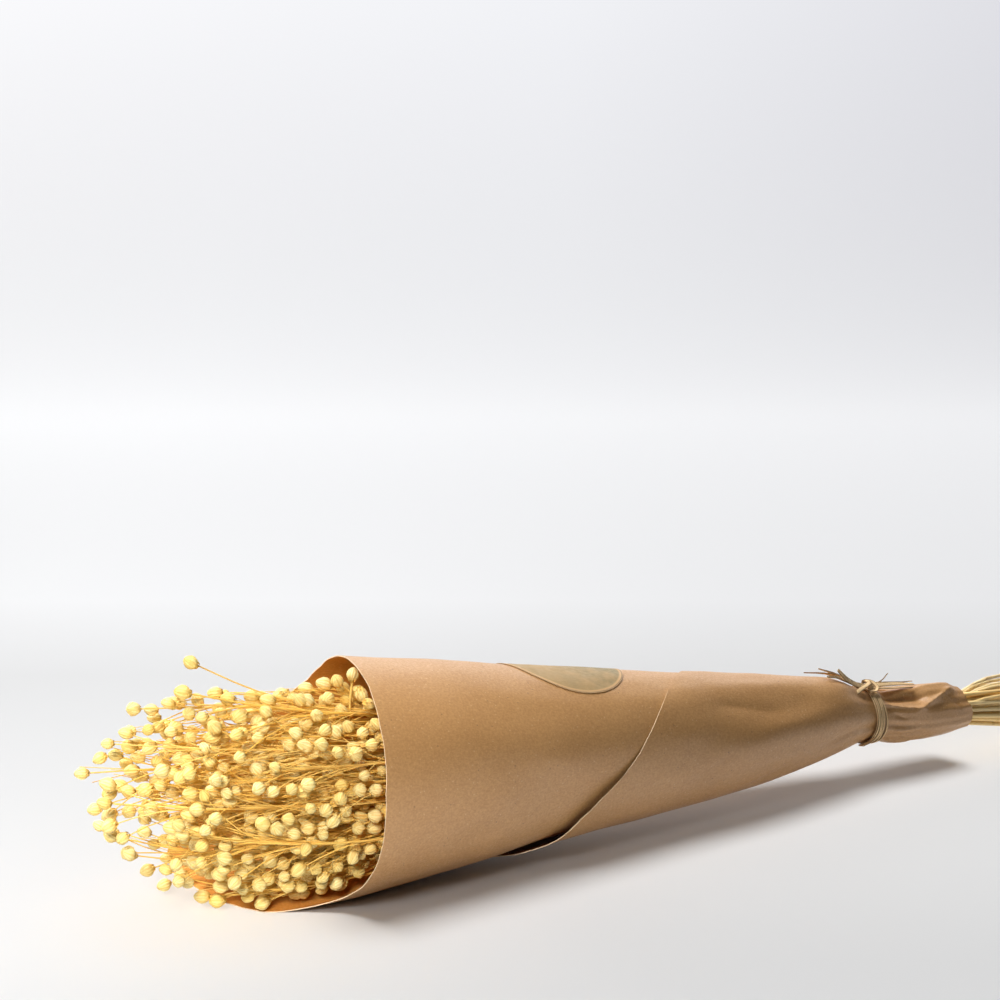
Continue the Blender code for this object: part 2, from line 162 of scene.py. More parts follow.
def join_into(piece: Piece, others: Sequence[Piece]) -> None:
    """Join other objects' meshes into one piece."""
    choose_only(piece)
    for other in others:
        other.select_set(True)
    bpy.ops.object.join()


def apply_modifiers(piece: Piece) -> None:
    """Apply every modifier of a piece, in order."""
    choose_only(piece)
    for modifier in list(piece.modifiers):
        bpy.ops.object.modifier_apply(modifier=modifier.name)


def shade_smooth(piece: Piece, degrees: float = 40.0) -> None:
    """Shade a piece smooth but for edges sharper than an angle.

    Args:
        piece: The mesh object to shade.
        degrees: Edges that turn more than this stay sharp.
    """
    choose_only(piece)
    bpy.ops.object.shade_smooth_by_angle(angle=math.radians(degrees), keep_sharp_edges=False)


def face_up(sheet: Piece, probe: Vector) -> None:
    """Turn a sheet's faces so that the one nearest to a point above it looks up."""
    near = min(sheet.data.polygons, key=lambda face: (face.center - probe).length)
    if near.normal.z < 0:
        edit_all(sheet, bpy.ops.mesh.flip_normals)


def thicken(sheet: Piece, thickness: float, inner: int = 0, edge: int = 0) -> None:
    """Give a sheet its thickness inwards, with its own inner face and cut edge.

    Args:
        sheet: The sheet, with its faces outwards.
        thickness: The wall's thickness.
        inner: How many material slots further the inner face's finish is.
        edge: How many material slots further the edge's finish is.
    """
    wall = sheet.modifiers.new("thickness", "SOLIDIFY")
    wall.thickness = thickness
    wall.offset = -1.0
    wall.material_offset = inner
    wall.material_offset_rim = edge
    apply_modifiers(sheet)


def settle(piece: Piece, nodes: Sequence[str] = ()) -> Piece:
    """Make a finished piece ride on the bunch and stand for its solids.

    Args:
        piece: The finished mesh object, with its place in its mesh.
        nodes: The solids that the piece is shown instead of.

    Returns:
        The same piece.
    """
    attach(piece, "root")
    if nodes:
        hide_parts(*nodes)
    log.info("%s: %d faces", piece.name, len(piece.data.polygons))
    return piece


# Shader nodes


@dataclass
class Graph:
    """Shorthand for placing and joining the nodes of one shader tree."""

    tree: bpy.types.NodeTree

    def add(self, kind: str, inputs: dict | None = None, **settings: object) -> bpy.types.Node:
        """Place a node, give it its settings and fill its sockets.

        Args:
            kind: The node's type, without the leading ShaderNode.
            inputs: Socket names or numbers, each with a plain value or with a socket to join.
            settings: The node's own properties.

        Returns:
            The new node.
        """
        node = self.tree.nodes.new("ShaderNode" + kind)
        for name, value in settings.items():
            setattr(node, name, value)
        for name, value in (inputs or {}).items():
            self.feed(node.inputs[name], value)
        return node

    def feed(self, socket: Socket, value: object) -> None:
        """Join a socket to another one, or give it a plain value or a colour's three values."""
        if isinstance(value, Socket):
            self.tree.links.new(value, socket)
        elif socket.type == "RGBA":
            socket.default_value = (*value, 1.0)
        else:
            socket.default_value = value

    def math(self, operation: str, first: object, second: object = 0.0) -> Socket:
        """Join two values by a Math node and give its result."""
        return self.add("Math", {0: first, 1: second}, operation=operation).outputs[0]

    def total(self, *parts: tuple[object, float]) -> Socket:
        """Add up values, each times its weight."""
        whole, *rest = [self.math("MULTIPLY", value, weight) for value, weight in parts]
        for term in rest:
            whole = self.math("ADD", whole, term)
        return whole

    def span(self, value: object, low: float, high: float, to_low: float = 0.0,
             to_high: float = 1.0) -> Socket:
        """Stretch a value from low..high to to_low..to_high, held at both ends."""
        return self.add("MapRange", {0: value, 1: low, 2: high, 3: to_low, 4: to_high}).outputs[0]

    def dot(self, vector: object, way: Sequence[float]) -> Socket:
        """Measure a vector along a direction."""
        return self.add("VectorMath", {0: vector, 1: way}, operation="DOT_PRODUCT").outputs["Value"]

    def blend(self, share: object, first: object, second: object, most: float = 1.0) -> Socket:
        """Mix two colours by a share.

        Args:
            share: How much of the second colour, a number or a socket.
            first: The first colour, plain or a socket.
            second: The second colour, plain or a socket.
            most: How much of the second colour there is where the share is 1.

        Returns:
            The mixed colour's socket.
        """
        if most < 1.0:
            share = self.math("MULTIPLY", share, most)
        return self.add("Mix", {0: share, 6: first, 7: second}, data_type="RGBA").outputs[2]


def new_group(name: str, inputs: dict[str, tuple], outputs: Sequence[str]) -> tuple[Graph, object, object]:
    """Start a shader node group.

    Args:
        name: The group's name.
        inputs: Socket names, each with its type's ending and its plain value or None.
        outputs: Names of the values that the group puts out.

    Returns:
        The group's graph, its input node and its output node.
    """
    tree = bpy.data.node_groups.new(name, "ShaderNodeTree")
    for label, (kind, value) in inputs.items():
        socket = tree.interface.new_socket(label, in_out="INPUT", socket_type="NodeSocket" + kind)
        if value is not None:
            socket.default_value = value
    for label in outputs:
        tree.interface.new_socket(label, in_out="OUTPUT", socket_type="NodeSocketFloat")
    return Graph(tree), tree.nodes.new("NodeGroupInput"), tree.nodes.new("NodeGroupOutput")


@dataclass(frozen=True)
class SharedEffects:
    """Node groups that more than one finish uses, built once."""

    fibres: bpy.types.NodeTree
    blotches: bpy.types.NodeTree
    flecks: bpy.types.NodeTree

    @classmethod
    def build(cls) -> "SharedEffects":
        """Build the three groups and give them together."""
        return cls(cls.build_fibres(), cls.build_blotches(), cls.build_flecks())

    @staticmethod
    def build_fibres() -> bpy.types.NodeTree:
        """Fine streaks that run along X: plant fibres in paper, raffia and straw."""
        graph, source, result = new_group(
            "plant_fibres",
            {"Vector": ("Vector", None), "Along": ("Float", 40.0), "Across": ("Float", 900.0)},
            ["Streaks"],
        )
        parts = graph.add("SeparateXYZ", {0: source.outputs["Vector"]}).outputs
        scales = [source.outputs[name] for name in ("Along", "Across", "Across")]
        scaled = {k: graph.math("MULTIPLY", parts[k], scale) for k, scale in enumerate(scales)}
        place = graph.add("CombineXYZ", scaled).outputs[0]
        streaks = graph.add("TexNoise", {"Vector": place, "Scale": 1.0, "Detail": 4.0, "Roughness": 0.6})
        graph.feed(result.inputs["Streaks"], graph.span(streaks.outputs[0], 0.3, 0.7))
        return graph.tree

    @staticmethod
    def build_blotches() -> bpy.types.NodeTree:
        """Soft uneven blotches, with smaller ones in them."""
        graph, source, result = new_group(
            "soft_blotches", {"Vector": ("Vector", None), "Scale": ("Float", 20.0)}, ["Blotches"]
        )
        cloud = {"Vector": source.outputs["Vector"], "Scale": source.outputs["Scale"], "Detail": 5.0}
        blotches = graph.add("TexNoise", cloud).outputs[0]
        graph.feed(result.inputs["Blotches"], graph.span(blotches, 0.32, 0.68))
        return graph.tree

    @staticmethod
    def build_flecks() -> bpy.types.NodeTree:
        """Small scattered flecks: bits of bark and pulp."""
        graph, source, result = new_group(
            "scattered_flecks",
            {"Vector": ("Vector", None), "Scale": ("Float", 400.0), "Size": ("Float", 0.12)},
            ["Flecks"],
        )
        layout = {"Vector": source.outputs["Vector"], "Scale": source.outputs["Scale"], "Randomness": 1.0}
        cells = graph.add("TexVoronoi", layout)
        near = graph.math("LESS_THAN", cells.outputs["Distance"], source.outputs["Size"])
        pick = graph.add("SeparateColor", {0: cells.outputs["Color"]}).outputs[0]
        chosen = graph.math("GREATER_THAN", pick, 0.72)
        graph.feed(result.inputs["Flecks"], graph.math("MULTIPLY", near, chosen))
        return graph.tree


@dataclass
class Finish:
    """One material in the making: its graph, its Principled shader and its place on the piece."""

    name: str
    roughness: float
    specular: float
    material: Material = field(init=False)
    graph: Graph = field(init=False)
    shader: bpy.types.Node = field(init=False)
    place: Socket = field(init=False)

    def __post_init__(self) -> None:
        """Create the material and set what is the same all over it."""
        self.material = bpy.data.materials.new(self.name)
        self.material.use_nodes = True
        self.graph = Graph(self.material.node_tree)
        self.shader = self.material.node_tree.nodes["Principled BSDF"]
        self.shader.inputs["Roughness"].default_value = self.roughness
        self.shader.inputs["Specular IOR Level"].default_value = self.specular
        self.place = self.graph.add("TexCoord").outputs["Object"]

    def use(self, group: bpy.types.NodeTree, **values: object) -> Socket:
        """Place a shared effect and give its first output.

        Args:
            group: The effect's node group.
            values: Values for its sockets, whose names start in lower case here.

        Returns:
            The socket of what the effect puts out.
        """
        node = self.graph.add("Group", node_tree=group)
        self.graph.feed(node.inputs["Vector"], values.pop("vector", self.place))
        for name, value in values.items():
            self.graph.feed(node.inputs[name.capitalize()], value)
        return node.outputs[0]

    def tints(self) -> Sequence[Socket]:
        """Read the channels of a flax mesh's colour attribute, in the order of Tint."""
        tint = self.graph.add("Attribute", attribute_name="tint", attribute_type="GEOMETRY").outputs["Color"]
        return self.graph.add("SeparateColor", {0: tint}).outputs

    def done(self, colour: Socket, rough: tuple[Socket, float, float], height: Socket, depth: float,
             strength: float) -> Material:
        """Feed the shader and give the material.

        Args:
            colour: The surface's colour.
            rough: A value from 0 to 1, with the roughness where it is 0 and where it is 1.
            height: The surface's height, from 0 to 1.
            depth: What a height of 1 measures, in metres.
            strength: How much of the height shows.

        Returns:
            The finished material.
        """
        value, smoothest, roughest = rough
        inputs = self.shader.inputs
        self.graph.feed(inputs["Base Color"], colour)
        self.graph.feed(inputs["Roughness"], self.graph.span(value, 0.0, 1.0, smoothest, roughest))
        bump = self.graph.add("Bump", {"Height": height, "Distance": depth, "Strength": strength})
        self.graph.feed(inputs["Normal"], bump.outputs[0])
        return self.material


@dataclass(frozen=True)
class KraftFinish:
    """Brown kraft paper: soft blotches, short fibres and bark flecks."""

    name: str = "kraft_paper"
    light: Colour = (0.64, 0.362, 0.149)
    dark: Colour = (0.48, 0.247, 0.088)
    bark: Colour = (0.20, 0.09, 0.04)
    roughness: float = 0.38
    specular: float = 0.8
    pulp: Colour = (0.80, 0.60, 0.38)

    def make(self, effects: SharedEffects) -> Material:
        """Build the paper's material.

        Args:
            effects: The shared node groups.

        Returns:
            The material.
        """
        finish = Finish(self.name, self.roughness, self.specular)
        graph = finish.graph
        broad = finish.use(effects.blotches, scale=14.0)
        fine = finish.use(effects.blotches, scale=850.0)
        fibres = finish.use(effects.fibres, along=420.0, across=1700.0)
        colour = graph.blend(graph.total((broad, 0.34), (fine, 0.62), (fibres, 0.4)), self.light, self.dark)
        bark = finish.use(effects.flecks, scale=230.0, size=0.10)
        pulp = finish.use(effects.flecks, scale=410.0, size=0.16)
        colour = graph.blend(pulp, colour, self.pulp, 0.35)
        colour = graph.blend(bark, colour, self.bark, 0.55)
        rough = (fine, self.roughness - 0.06, self.roughness + 0.10)
        height = graph.total((fine, 0.6), (fibres, 1.0))
        return finish.done(colour, rough, height, depth=0.00006, strength=0.9)


@dataclass(frozen=True)
class LabelFinish:
    """Printed sticker paper: a plain mottled print with a thin ring inside its edge."""

    name: str = "label_print"
    paper: Colour = (0.60, 0.37, 0.17)
    print_light: Colour = (0.45, 0.285, 0.122)
    print_dark: Colour = (0.24, 0.198, 0.098)
    ring: Colour = (0.22, 0.13, 0.06)
    fibre: Colour = (0.70, 0.55, 0.36)
    print_edge: Span = (0.951, 0.931)
    ring_at: float = 0.986
    ring_width: float = 0.012

    def make(self, effects: SharedEffects) -> Material:
        """Build the label's material, laid out on the disc's own UV map.

        Args:
            effects: The shared node groups.

        Returns:
            The material.
        """
        finish = Finish(self.name, 0.55, 0.25)
        graph = finish.graph
        disc = graph.add("UVMap", uv_map="disc").outputs[0]
        offset = graph.add("VectorMath", {0: disc, 1: (0.5, 0.5, 0.0)}, operation="SUBTRACT").outputs[0]
        length = graph.add("VectorMath", {0: offset}, operation="LENGTH").outputs["Value"]
        radius = graph.math("MULTIPLY", length, 2.0)
        blotches = finish.use(effects.blotches, scale=75.0)
        fine = finish.use(effects.blotches, scale=320.0)
        fibres = finish.use(effects.fibres, along=260.0, across=1500.0)
        along = graph.add("SeparateXYZ", {0: disc}).outputs[0]
        paler = graph.span(along, 0.25, 0.85, 0.35, 1.25)
        washed = graph.math("MULTIPLY", graph.total((blotches, 0.8), (fine, 0.3)), paler)
        printed = graph.blend(washed, self.print_light, self.print_dark)
        colour = graph.blend(graph.span(radius, *self.print_edge), self.paper, printed)
        away = graph.math("ABSOLUTE", graph.math("SUBTRACT", radius, self.ring_at))
        on_ring = graph.span(away, self.ring_width, self.ring_width * 0.4)
        colour = graph.blend(on_ring, colour, self.ring, 0.75)
        colour = graph.blend(fibres, colour, self.fibre, 0.15)
        return finish.done(colour, (fine, 0.42, 0.6), fibres, depth=0.00004, strength=0.6)


@dataclass(frozen=True)
class RaffiaFinish:
    """Dry raffia: long pale fibres with darker grooves between them, and painted shade along each strand's
    side edges.
    """

    name: str = "raffia"
    pale: Colour = (1.0, 0.76, 0.43)
    tan: Colour = (0.84, 0.51, 0.23)
    streak_and_gap_shade: Colour = (0.20, 0.085, 0.03)

    def make(self, effects: SharedEffects) -> Material:
        """Build the raffia's material, laid along each strand's own UV map.

        Args:
            effects: The shared node groups.

        Returns:
            The material.
        """
        finish = Finish(self.name, 0.6, 0.2)
        graph = finish.graph
        strand = graph.add("UVMap", uv_map="strand").outputs[0]
        streaks = finish.use(effects.fibres, vector=strand, along=5.0, across=14.0)
        fine = finish.use(effects.fibres, vector=strand, along=14.0, across=44.0)
        blotches = finish.use(effects.blotches, scale=160.0)
        colour = graph.blend(graph.total((streaks, 0.5), (blotches, 0.2)), self.pale, self.tan)
        colour = graph.blend(graph.span(fine, 0.38, 0.0, 0.0, 0.75), colour, self.streak_and_gap_shade)
        # Painted shade: each strand is darkened towards its side edges, where it meets the next strand.
        round_ = graph.add("SeparateXYZ", {0: strand}).outputs[1]
        flat = graph.math("ABSOLUTE", graph.math("SINE", graph.math("MULTIPLY", round_, math.tau)))
        colour = graph.blend(graph.span(flat, 0.85, 0.35, 0.0, 0.85), colour, self.streak_and_gap_shade)
        height = graph.total((fine, 1.0), (streaks, 1.0))
        return finish.done(colour, (fine, 0.72, 0.5), height, depth=0.00018, strength=0.9)


@dataclass(frozen=True)
class StrawFinish:
    """Dry flax stem: golden straw, streaked lengthwise, each stem in its own tone."""

    name: str = "flax_straw"
    pale: Colour = (0.96, 0.69, 0.22)
    gold: Colour = (0.87, 0.49, 0.070)
    brown: Colour = (0.42, 0.20, 0.04)
    bleached: Colour = (1.0, 0.80, 0.46)
    bleached_from: Span = (0.17, 0.23)

    def make(self, effects: SharedEffects) -> Material:
        """Build the straw's material.

        Args:
            effects: The shared node groups.

        Returns:
            The material.
        """
        finish = Finish(self.name, 0.5, 0.15)
        graph = finish.graph
        tone = finish.tints()[Tint.TONE.value]
        streaks = finish.use(effects.fibres, along=60.0, across=2400.0)
        blotches = finish.use(effects.blotches, scale=90.0)
        colour = graph.blend(graph.total((tone, 0.7), (streaks, 0.3)), self.pale, self.gold)
        along = graph.add("SeparateXYZ", {0: finish.place}).outputs[0]
        bleached = graph.math("MULTIPLY", graph.span(along, *self.bleached_from),
                              graph.span(tone, 0.0, 1.0, 1.0, 0.45))
        colour = graph.blend(bleached, colour, self.bleached)
        colour = graph.blend(graph.span(blotches, 0.75, 1.0, 0.0, 0.55), colour, self.brown)
        return finish.done(colour, (streaks, 0.58, 0.42), streaks, depth=0.00008, strength=0.7)


@dataclass(frozen=True)
class HeadFinish:
    """Dry seed head: cream skin, golden at its foot and in its furrows, brown at the point."""

    name: str = "flax_head"
    cream: Colour = (0.98, 0.85, 0.42)
    straw: Colour = (0.97, 0.71, 0.20)
    furrow: Colour = (0.80, 0.46, 0.07)
    point: Colour = (0.42, 0.24, 0.08)
    fine_ribs: int = 12

    def make(self, effects: SharedEffects) -> Material:
        """Build the seed head's material from the mesh's own tint.

        Args:
            effects: The shared node groups.

        Returns:
            The material.
        """
        finish = Finish(self.name, 0.55, 0.2)
        graph = finish.graph
        tone, reach, rib = (finish.tints()[channel.value] for channel in Tint)
        blotches = finish.use(effects.blotches, scale=420.0)
        fine = finish.use(effects.blotches, scale=1500.0)
        colour = graph.blend(graph.total((tone, 0.75), (blotches, 0.25)), self.cream, self.straw)
        round_ = graph.add("SeparateXYZ", {0: graph.add("UVMap", uv_map="head").outputs[0]}).outputs[0]
        wave = graph.math("SINE", graph.math("MULTIPLY", round_, self.fine_ribs * math.tau))
        colour = graph.blend(graph.span(wave, -0.2, -0.95), colour, self.furrow, 0.45)
        colour = graph.blend(graph.span(rib, 0.55, 0.0, 0.0, 0.45), colour, self.furrow)
        colour = graph.blend(graph.span(reach, 0.34, 0.02, 0.0, 0.75), colour, self.furrow)
        colour = graph.blend(graph.span(reach, 0.93, 1.0, 0.0, 0.8), colour, self.point)
        height = graph.total((fine, 1.0), (wave, 1.5))
        return finish.done(colour, (fine, 0.48, 0.66), height, depth=0.00009, strength=0.8)


@dataclass(frozen=True)
class BackdropFinish:
    """Pale table that turns, towards the back, into backdrop paper with light behind it.

    The paper's colour is painted brightest at the left and greyer at the right, a painted light falloff;
    towards the back it glows as painted light, brightest at the left.
    """

    name: str = "pale_backdrop"
    white: Colour = (0.80, 0.80, 0.80)
    grey: Colour = (0.78, 0.78, 0.78)
    whiter: Span = (0.27, 0.46)
    painted_light_left: Colour = (0.95, 0.95, 0.955)
    painted_shade_right: Colour = (0.80, 0.80, 0.81)
    shading: Span = (-0.4, 0.9)
    lit_from: Span = (1.2, 1.75)
    lit_width: Span = (-0.75, 0.75)
    lit: tuple[Colour, Colour, Colour] = (
        (0.965, 0.965, 0.985), (0.885, 0.892, 0.925), (0.69, 0.69, 0.735)
    )

    def make(self, effects: SharedEffects) -> Material:
        """Build the material of table and backdrop.

        Args:
            effects: The shared node groups.

        Returns:
            The material.
        """
        finish = Finish(self.name, 0.7, 0.1)
        graph = finish.graph
        turn = math.radians(CAMERA_YAW)
        right = graph.dot(finish.place, (math.cos(turn), -math.sin(turn), 0.0))
        away = graph.dot(finish.place, (math.sin(turn), math.cos(turn), 0.0))
        table = graph.blend(finish.use(effects.blotches, scale=3.0), self.white, self.grey)
        # Painted light falloff: the paper is painted bright at the left and greyer towards the right.
        pale = graph.blend(graph.span(right, *self.shading), self.painted_light_left, self.painted_shade_right)
        colour = graph.blend(graph.span(away, *self.whiter), table, pale)
        graph.feed(finish.shader.inputs["Base Color"], colour)
        # Painted light: towards the back the paper glows, brightest at the left and dimmest at the right.
        ramp = graph.add("ValToRGB", {0: graph.span(right, *self.lit_width)})
        ramp.color_ramp.elements.new(0.5)
        for stop, lit in zip(ramp.color_ramp.elements, self.lit):
            stop.color = (*lit, 1.0)
        lamp = graph.add("Emission", {"Color": ramp.outputs[0], "Strength": 1.0})
        share = graph.span(away, *self.lit_from)
        mixed = graph.add("MixShader", {0: share, 1: finish.shader.outputs[0], 2: lamp.outputs[0]})
        graph.feed(graph.tree.nodes["Material Output"].inputs["Surface"], mixed.outputs[0])
        return finish.material


# The paper's shape


@dataclass(frozen=True)
class Crease:
    """A soft fold in the paper, straight on the unrolled sheet.

    The ends are given by place along the cone and angle round it, in metres and degrees.
    """

    start: Span
    end: Span
    width: float
    depth: float
    soft: bool = False

    def dent(self, x: float, angle: float, radius: float) -> float:
        """How far the crease pushes the paper in at a place.

        Args:
            x: Place along the cone.
            angle: Place round the cone in degrees.
            radius: The cone's radius there.

        Returns:
            The depth in metres, below zero where the paper stands out.
        """
        scale = math.radians(1) * radius
        ax, ay = self.start[0], self.start[1] * scale
        dx, dy = self.end[0] - ax, self.end[1] * scale - ay
        px, py = x - ax, angle * scale - ay
        length = math.hypot(dx, dy)
        t = (px * dx + py * dy) / length**2
        fade = smooth_step(t * 4) * smooth_step((1 - t) * 4)
        off = abs(px * dy - py * dx) / length
        fall = (off / self.width) ** 2 if self.soft else off / self.width
        return self.depth * fade * math.exp(-fall)


@dataclass(frozen=True)
class RolledCone:
    """The rolled paper's outer face: a cone with an open lip, pinched at its neck.

    Each section holds a place along the cone, the radius there and its middle's height. Each step
    of the mouth's edge holds an angle round the cone and the edge's place along it.
    """

    middle: Span = (0.1839, 0.0098)
    mouth_radius: float = 0.0600
    bottom_sink: float = 0.0016
    sink_angles: Span = (13.0, 45.0)
    sink_reach: float = 0.060
    lip_reach: float = 0.0600
    lip_start: float = 0.0450
    lip_flat: float = 0.0620
    lip_bend: float = 0.0480
    lip_angles: Span = (50.0, 150.0)
    rounding: float = 0.003
    sections: Table = (
        (-0.065, 0.0600, 0.0600), (0.000, 0.0600, 0.0600), (0.238, 0.0317, 0.0431), (0.262, 0.0285, 0.0423),
        (0.292, 0.0235, 0.0416), (0.305, 0.0214, 0.0416), (0.312, 0.0207, 0.0411), (0.3205, 0.0175, 0.0397),
        (0.3285, 0.0150, 0.0384), (0.3385, 0.0150, 0.0376), (0.350, 0.0158, 0.0354), (0.370, 0.0158, 0.0336),
        (0.388, 0.0146, 0.0326), (0.405, 0.0120, 0.0315),
    )
    mouth_edge: Table = (
        (-180, 0.0096), (-152, 0.0062), (-128, 0.0027), (-99, -0.0012), (-57, -0.0033), (-42, -0.0050),
        (-30, -0.0110), (-20, -0.0240), (-10, -0.0430), (0, -0.0500), (15, -0.0570), (45, -0.0600),
        (70, -0.0600), (90, -0.0460), (105, -0.0250), (118, 0.0010), (130, 0.0096), (142, 0.0122),
        (158, 0.0118), (180, 0.0096),
    )
    mouth_ripples: Table = ((9, 0.00015), (23, 0.00010))
    tail_end: float = 0.399
    tail_slant: float = 0.003
    tail_longest: float = -1.05
    tail_notch: float = 0.0012
    tail_notches: int = 5
    tie_at: float = 0.3336
    swells: Span = (0.0009, 0.0003)
    swells_along: float = 17.0
    swells_round: float = 1.6
    swells_finer: float = 2.7
    swells_from: float = 0.06
    pinch_reach: float = 0.020
    pinch_depth: float = 0.0004
    pinch_left: float = 0.55
    gathers: Table = ((7, 0.50, 0.6, 0.0), (11, 0.35, 2.0, 30.0), (17, 0.30, 1.1, 0.0))
    gather_depth: float = 0.0010
    gather_bound: float = 0.25
    bound_reach: float = 0.012
    crease_margin: float = 0.03
    creases: tuple[Crease, ...] = (
        Crease((0.196, -84), (0.300, -118), 0.0075, -0.0011, soft=True),
        Crease((0.190, -62), (0.225, -98), 0.0020, 0.0007),
        Crease((0.195, -132), (0.300, -128), 0.0100, 0.0014, soft=True),
        Crease((0.210, -138), (0.262, -120), 0.0022, 0.0005),
        Crease((0.090, -118), (0.099, -100), 0.0011, -0.0009),
        Crease((0.117, -104), (0.126, -80), 0.0011, -0.0008),
        Crease((0.048, -96), (0.072, -112), 0.0020, 0.0004),
        Crease((0.020, -132), (0.130, -96), 0.0120, -0.0008, soft=True),
        Crease((0.030, -60), (0.120, -84), 0.0100, 0.0007, soft=True),
        Crease((0.140, -150), (0.200, -160), 0.0090, 0.0007, soft=True),
        Crease((0.230, -40), (0.315, -84), 0.0045, 0.0010, soft=True),
        Crease((0.290, -70), (0.318, -84), 0.0016, 0.0007),
        Crease((0.298, -118), (0.319, -106), 0.0016, 0.0006),
        Crease((0.060, 150), (0.210, 110), 0.0040, 0.0008),
        Crease((0.150, 60), (0.300, 95), 0.0040, 0.0009),
        Crease((0.334, -158), (0.372, -140), 0.0058, 0.0042, soft=True),
        Crease((0.330, -128), (0.369, -112), 0.0012, -0.0021),
        Crease((0.355, -104), (0.394, -161), 0.0014, -0.0021),
        Crease((0.342, -108), (0.352, -92), 0.0015, 0.0010),
        Crease((0.366, -200), (0.396, -162), 0.0070, -0.0020, soft=True),
        Crease((0.383, -152), (0.394, -96), 0.0009, 0.0010),
        Crease((0.346, -40), (0.366, -70), 0.0022, 0.0014),
        Crease((0.340, -22), (0.362, -14), 0.0040, -0.0012, soft=True),
        Crease((0.345, 60), (0.390, 90), 0.0025, 0.0016),
        Crease((0.345, 150), (0.380, 130), 0.0025, 0.0018),
    )

    def section(self, x: float, column: int) -> float:
        """Read the cone's radius (1) or its middle's height (2) at x, rounded where it bends."""
        steps = (-self.rounding, 0.0, self.rounding)
        return sum(along_table(self.sections, x + step, column) for step in steps) / len(steps)

    def wrinkle(self, x: float, angle: float) -> float:
        """How far the paper stands off the plain cone: swells, gathers and creases.

        Args:
            x: Place along the cone.
            angle: Place round it in degrees.

        Returns:
            The height in metres.
        """
        turn = math.radians(angle)
        radius = self.section(x, 1)
        round_ = self.swells_round
        spot = Vector((x * self.swells_along, round_ * math.cos(turn), round_ * math.sin(turn)))
        broad, fine = self.swells
        height = broad * noise.noise(spot) + fine * noise.noise(spot * self.swells_finer)
        height *= smooth_step(x / self.swells_from)
        past = x - self.tie_at
        pinch = math.exp(-((past / self.pinch_reach) ** 2))
        pinch += self.pinch_left * smooth_step(past / self.pinch_reach)
        gather = sum(size * math.cos(count * turn + phase + slide * x)
                     for count, size, phase, slide in self.gathers)
        bound = smooth_step(abs(past) / self.bound_reach)
        gather *= self.gather_bound + (1 - self.gather_bound) * bound
        height += self.gather_depth * pinch * gather - self.pinch_depth * pinch
        for crease in self.creases:
            low, high = sorted((crease.start[0], crease.end[0]))
            if low - self.crease_margin < x < high + self.crease_margin:
                height -= crease.dent(x, angle, radius)
        return height

    def point(self, x: float, angle: float, lift: float = 0.0) -> Vector:
        """Give a point of the paper's outer face in the bunch's frame.

        Args:
            x: Place along the cone.
            angle: Place round it in degrees, from the bottom, the far side being positive.
            lift: Height above the plain cone.

        Returns:
            The point.
        """
        turn = math.radians(wrap_angle(angle))
        degrees = math.degrees(turn)
        radius = self.section(x, 1) + lift
        y = radius * math.sin(turn)
        z = self.section(x, 2) - radius * math.cos(turn)
        pressed = 1 - ease(abs(degrees), *self.sink_angles)
        z -= self.bottom_sink * pressed * (1 - smooth_step(x / self.sink_reach))
        if turn > 0:
            share = ease(x, self.lip_start, -self.lip_reach) * (1 - ease(degrees, *self.lip_angles))
            arc = self.mouth_radius * turn
            rise = max(0.0, arc - self.lip_flat) / self.lip_bend
            y += share * (min(arc, self.lip_flat) + self.lip_bend * math.sin(rise) - y)
            z += share * (self.lip_bend * (1 - math.cos(rise)) + lift - z)
        return Vector((x - self.middle[0], y - self.middle[1], max(z, 0.0)))

    def surface(self, x: float, angle: float, lift: float = 0.0) -> Vector:
        """Give a point on the wrinkled paper, lifted off it by lift."""
        return self.point(x, angle, self.wrinkle(x, wrap_angle(angle)) + lift)

    def front(self, angle: float) -> float:
        """Place of the mouth's edge at an angle."""
        ripple = sum(size * math.sin(math.radians(count * angle)) for count, size in self.mouth_ripples)
        return along_table(self.mouth_edge, wrap_angle(angle), 1) + ripple

    def tail(self, angle: float) -> float:
        """Place of the gathered end's edge at an angle."""
        turn = math.radians(angle)
        notch = self.tail_notch * (1 + math.sin(self.tail_notches * turn)) / 2
        return self.tail_end + self.tail_slant * math.cos(turn - self.tail_longest) - notch


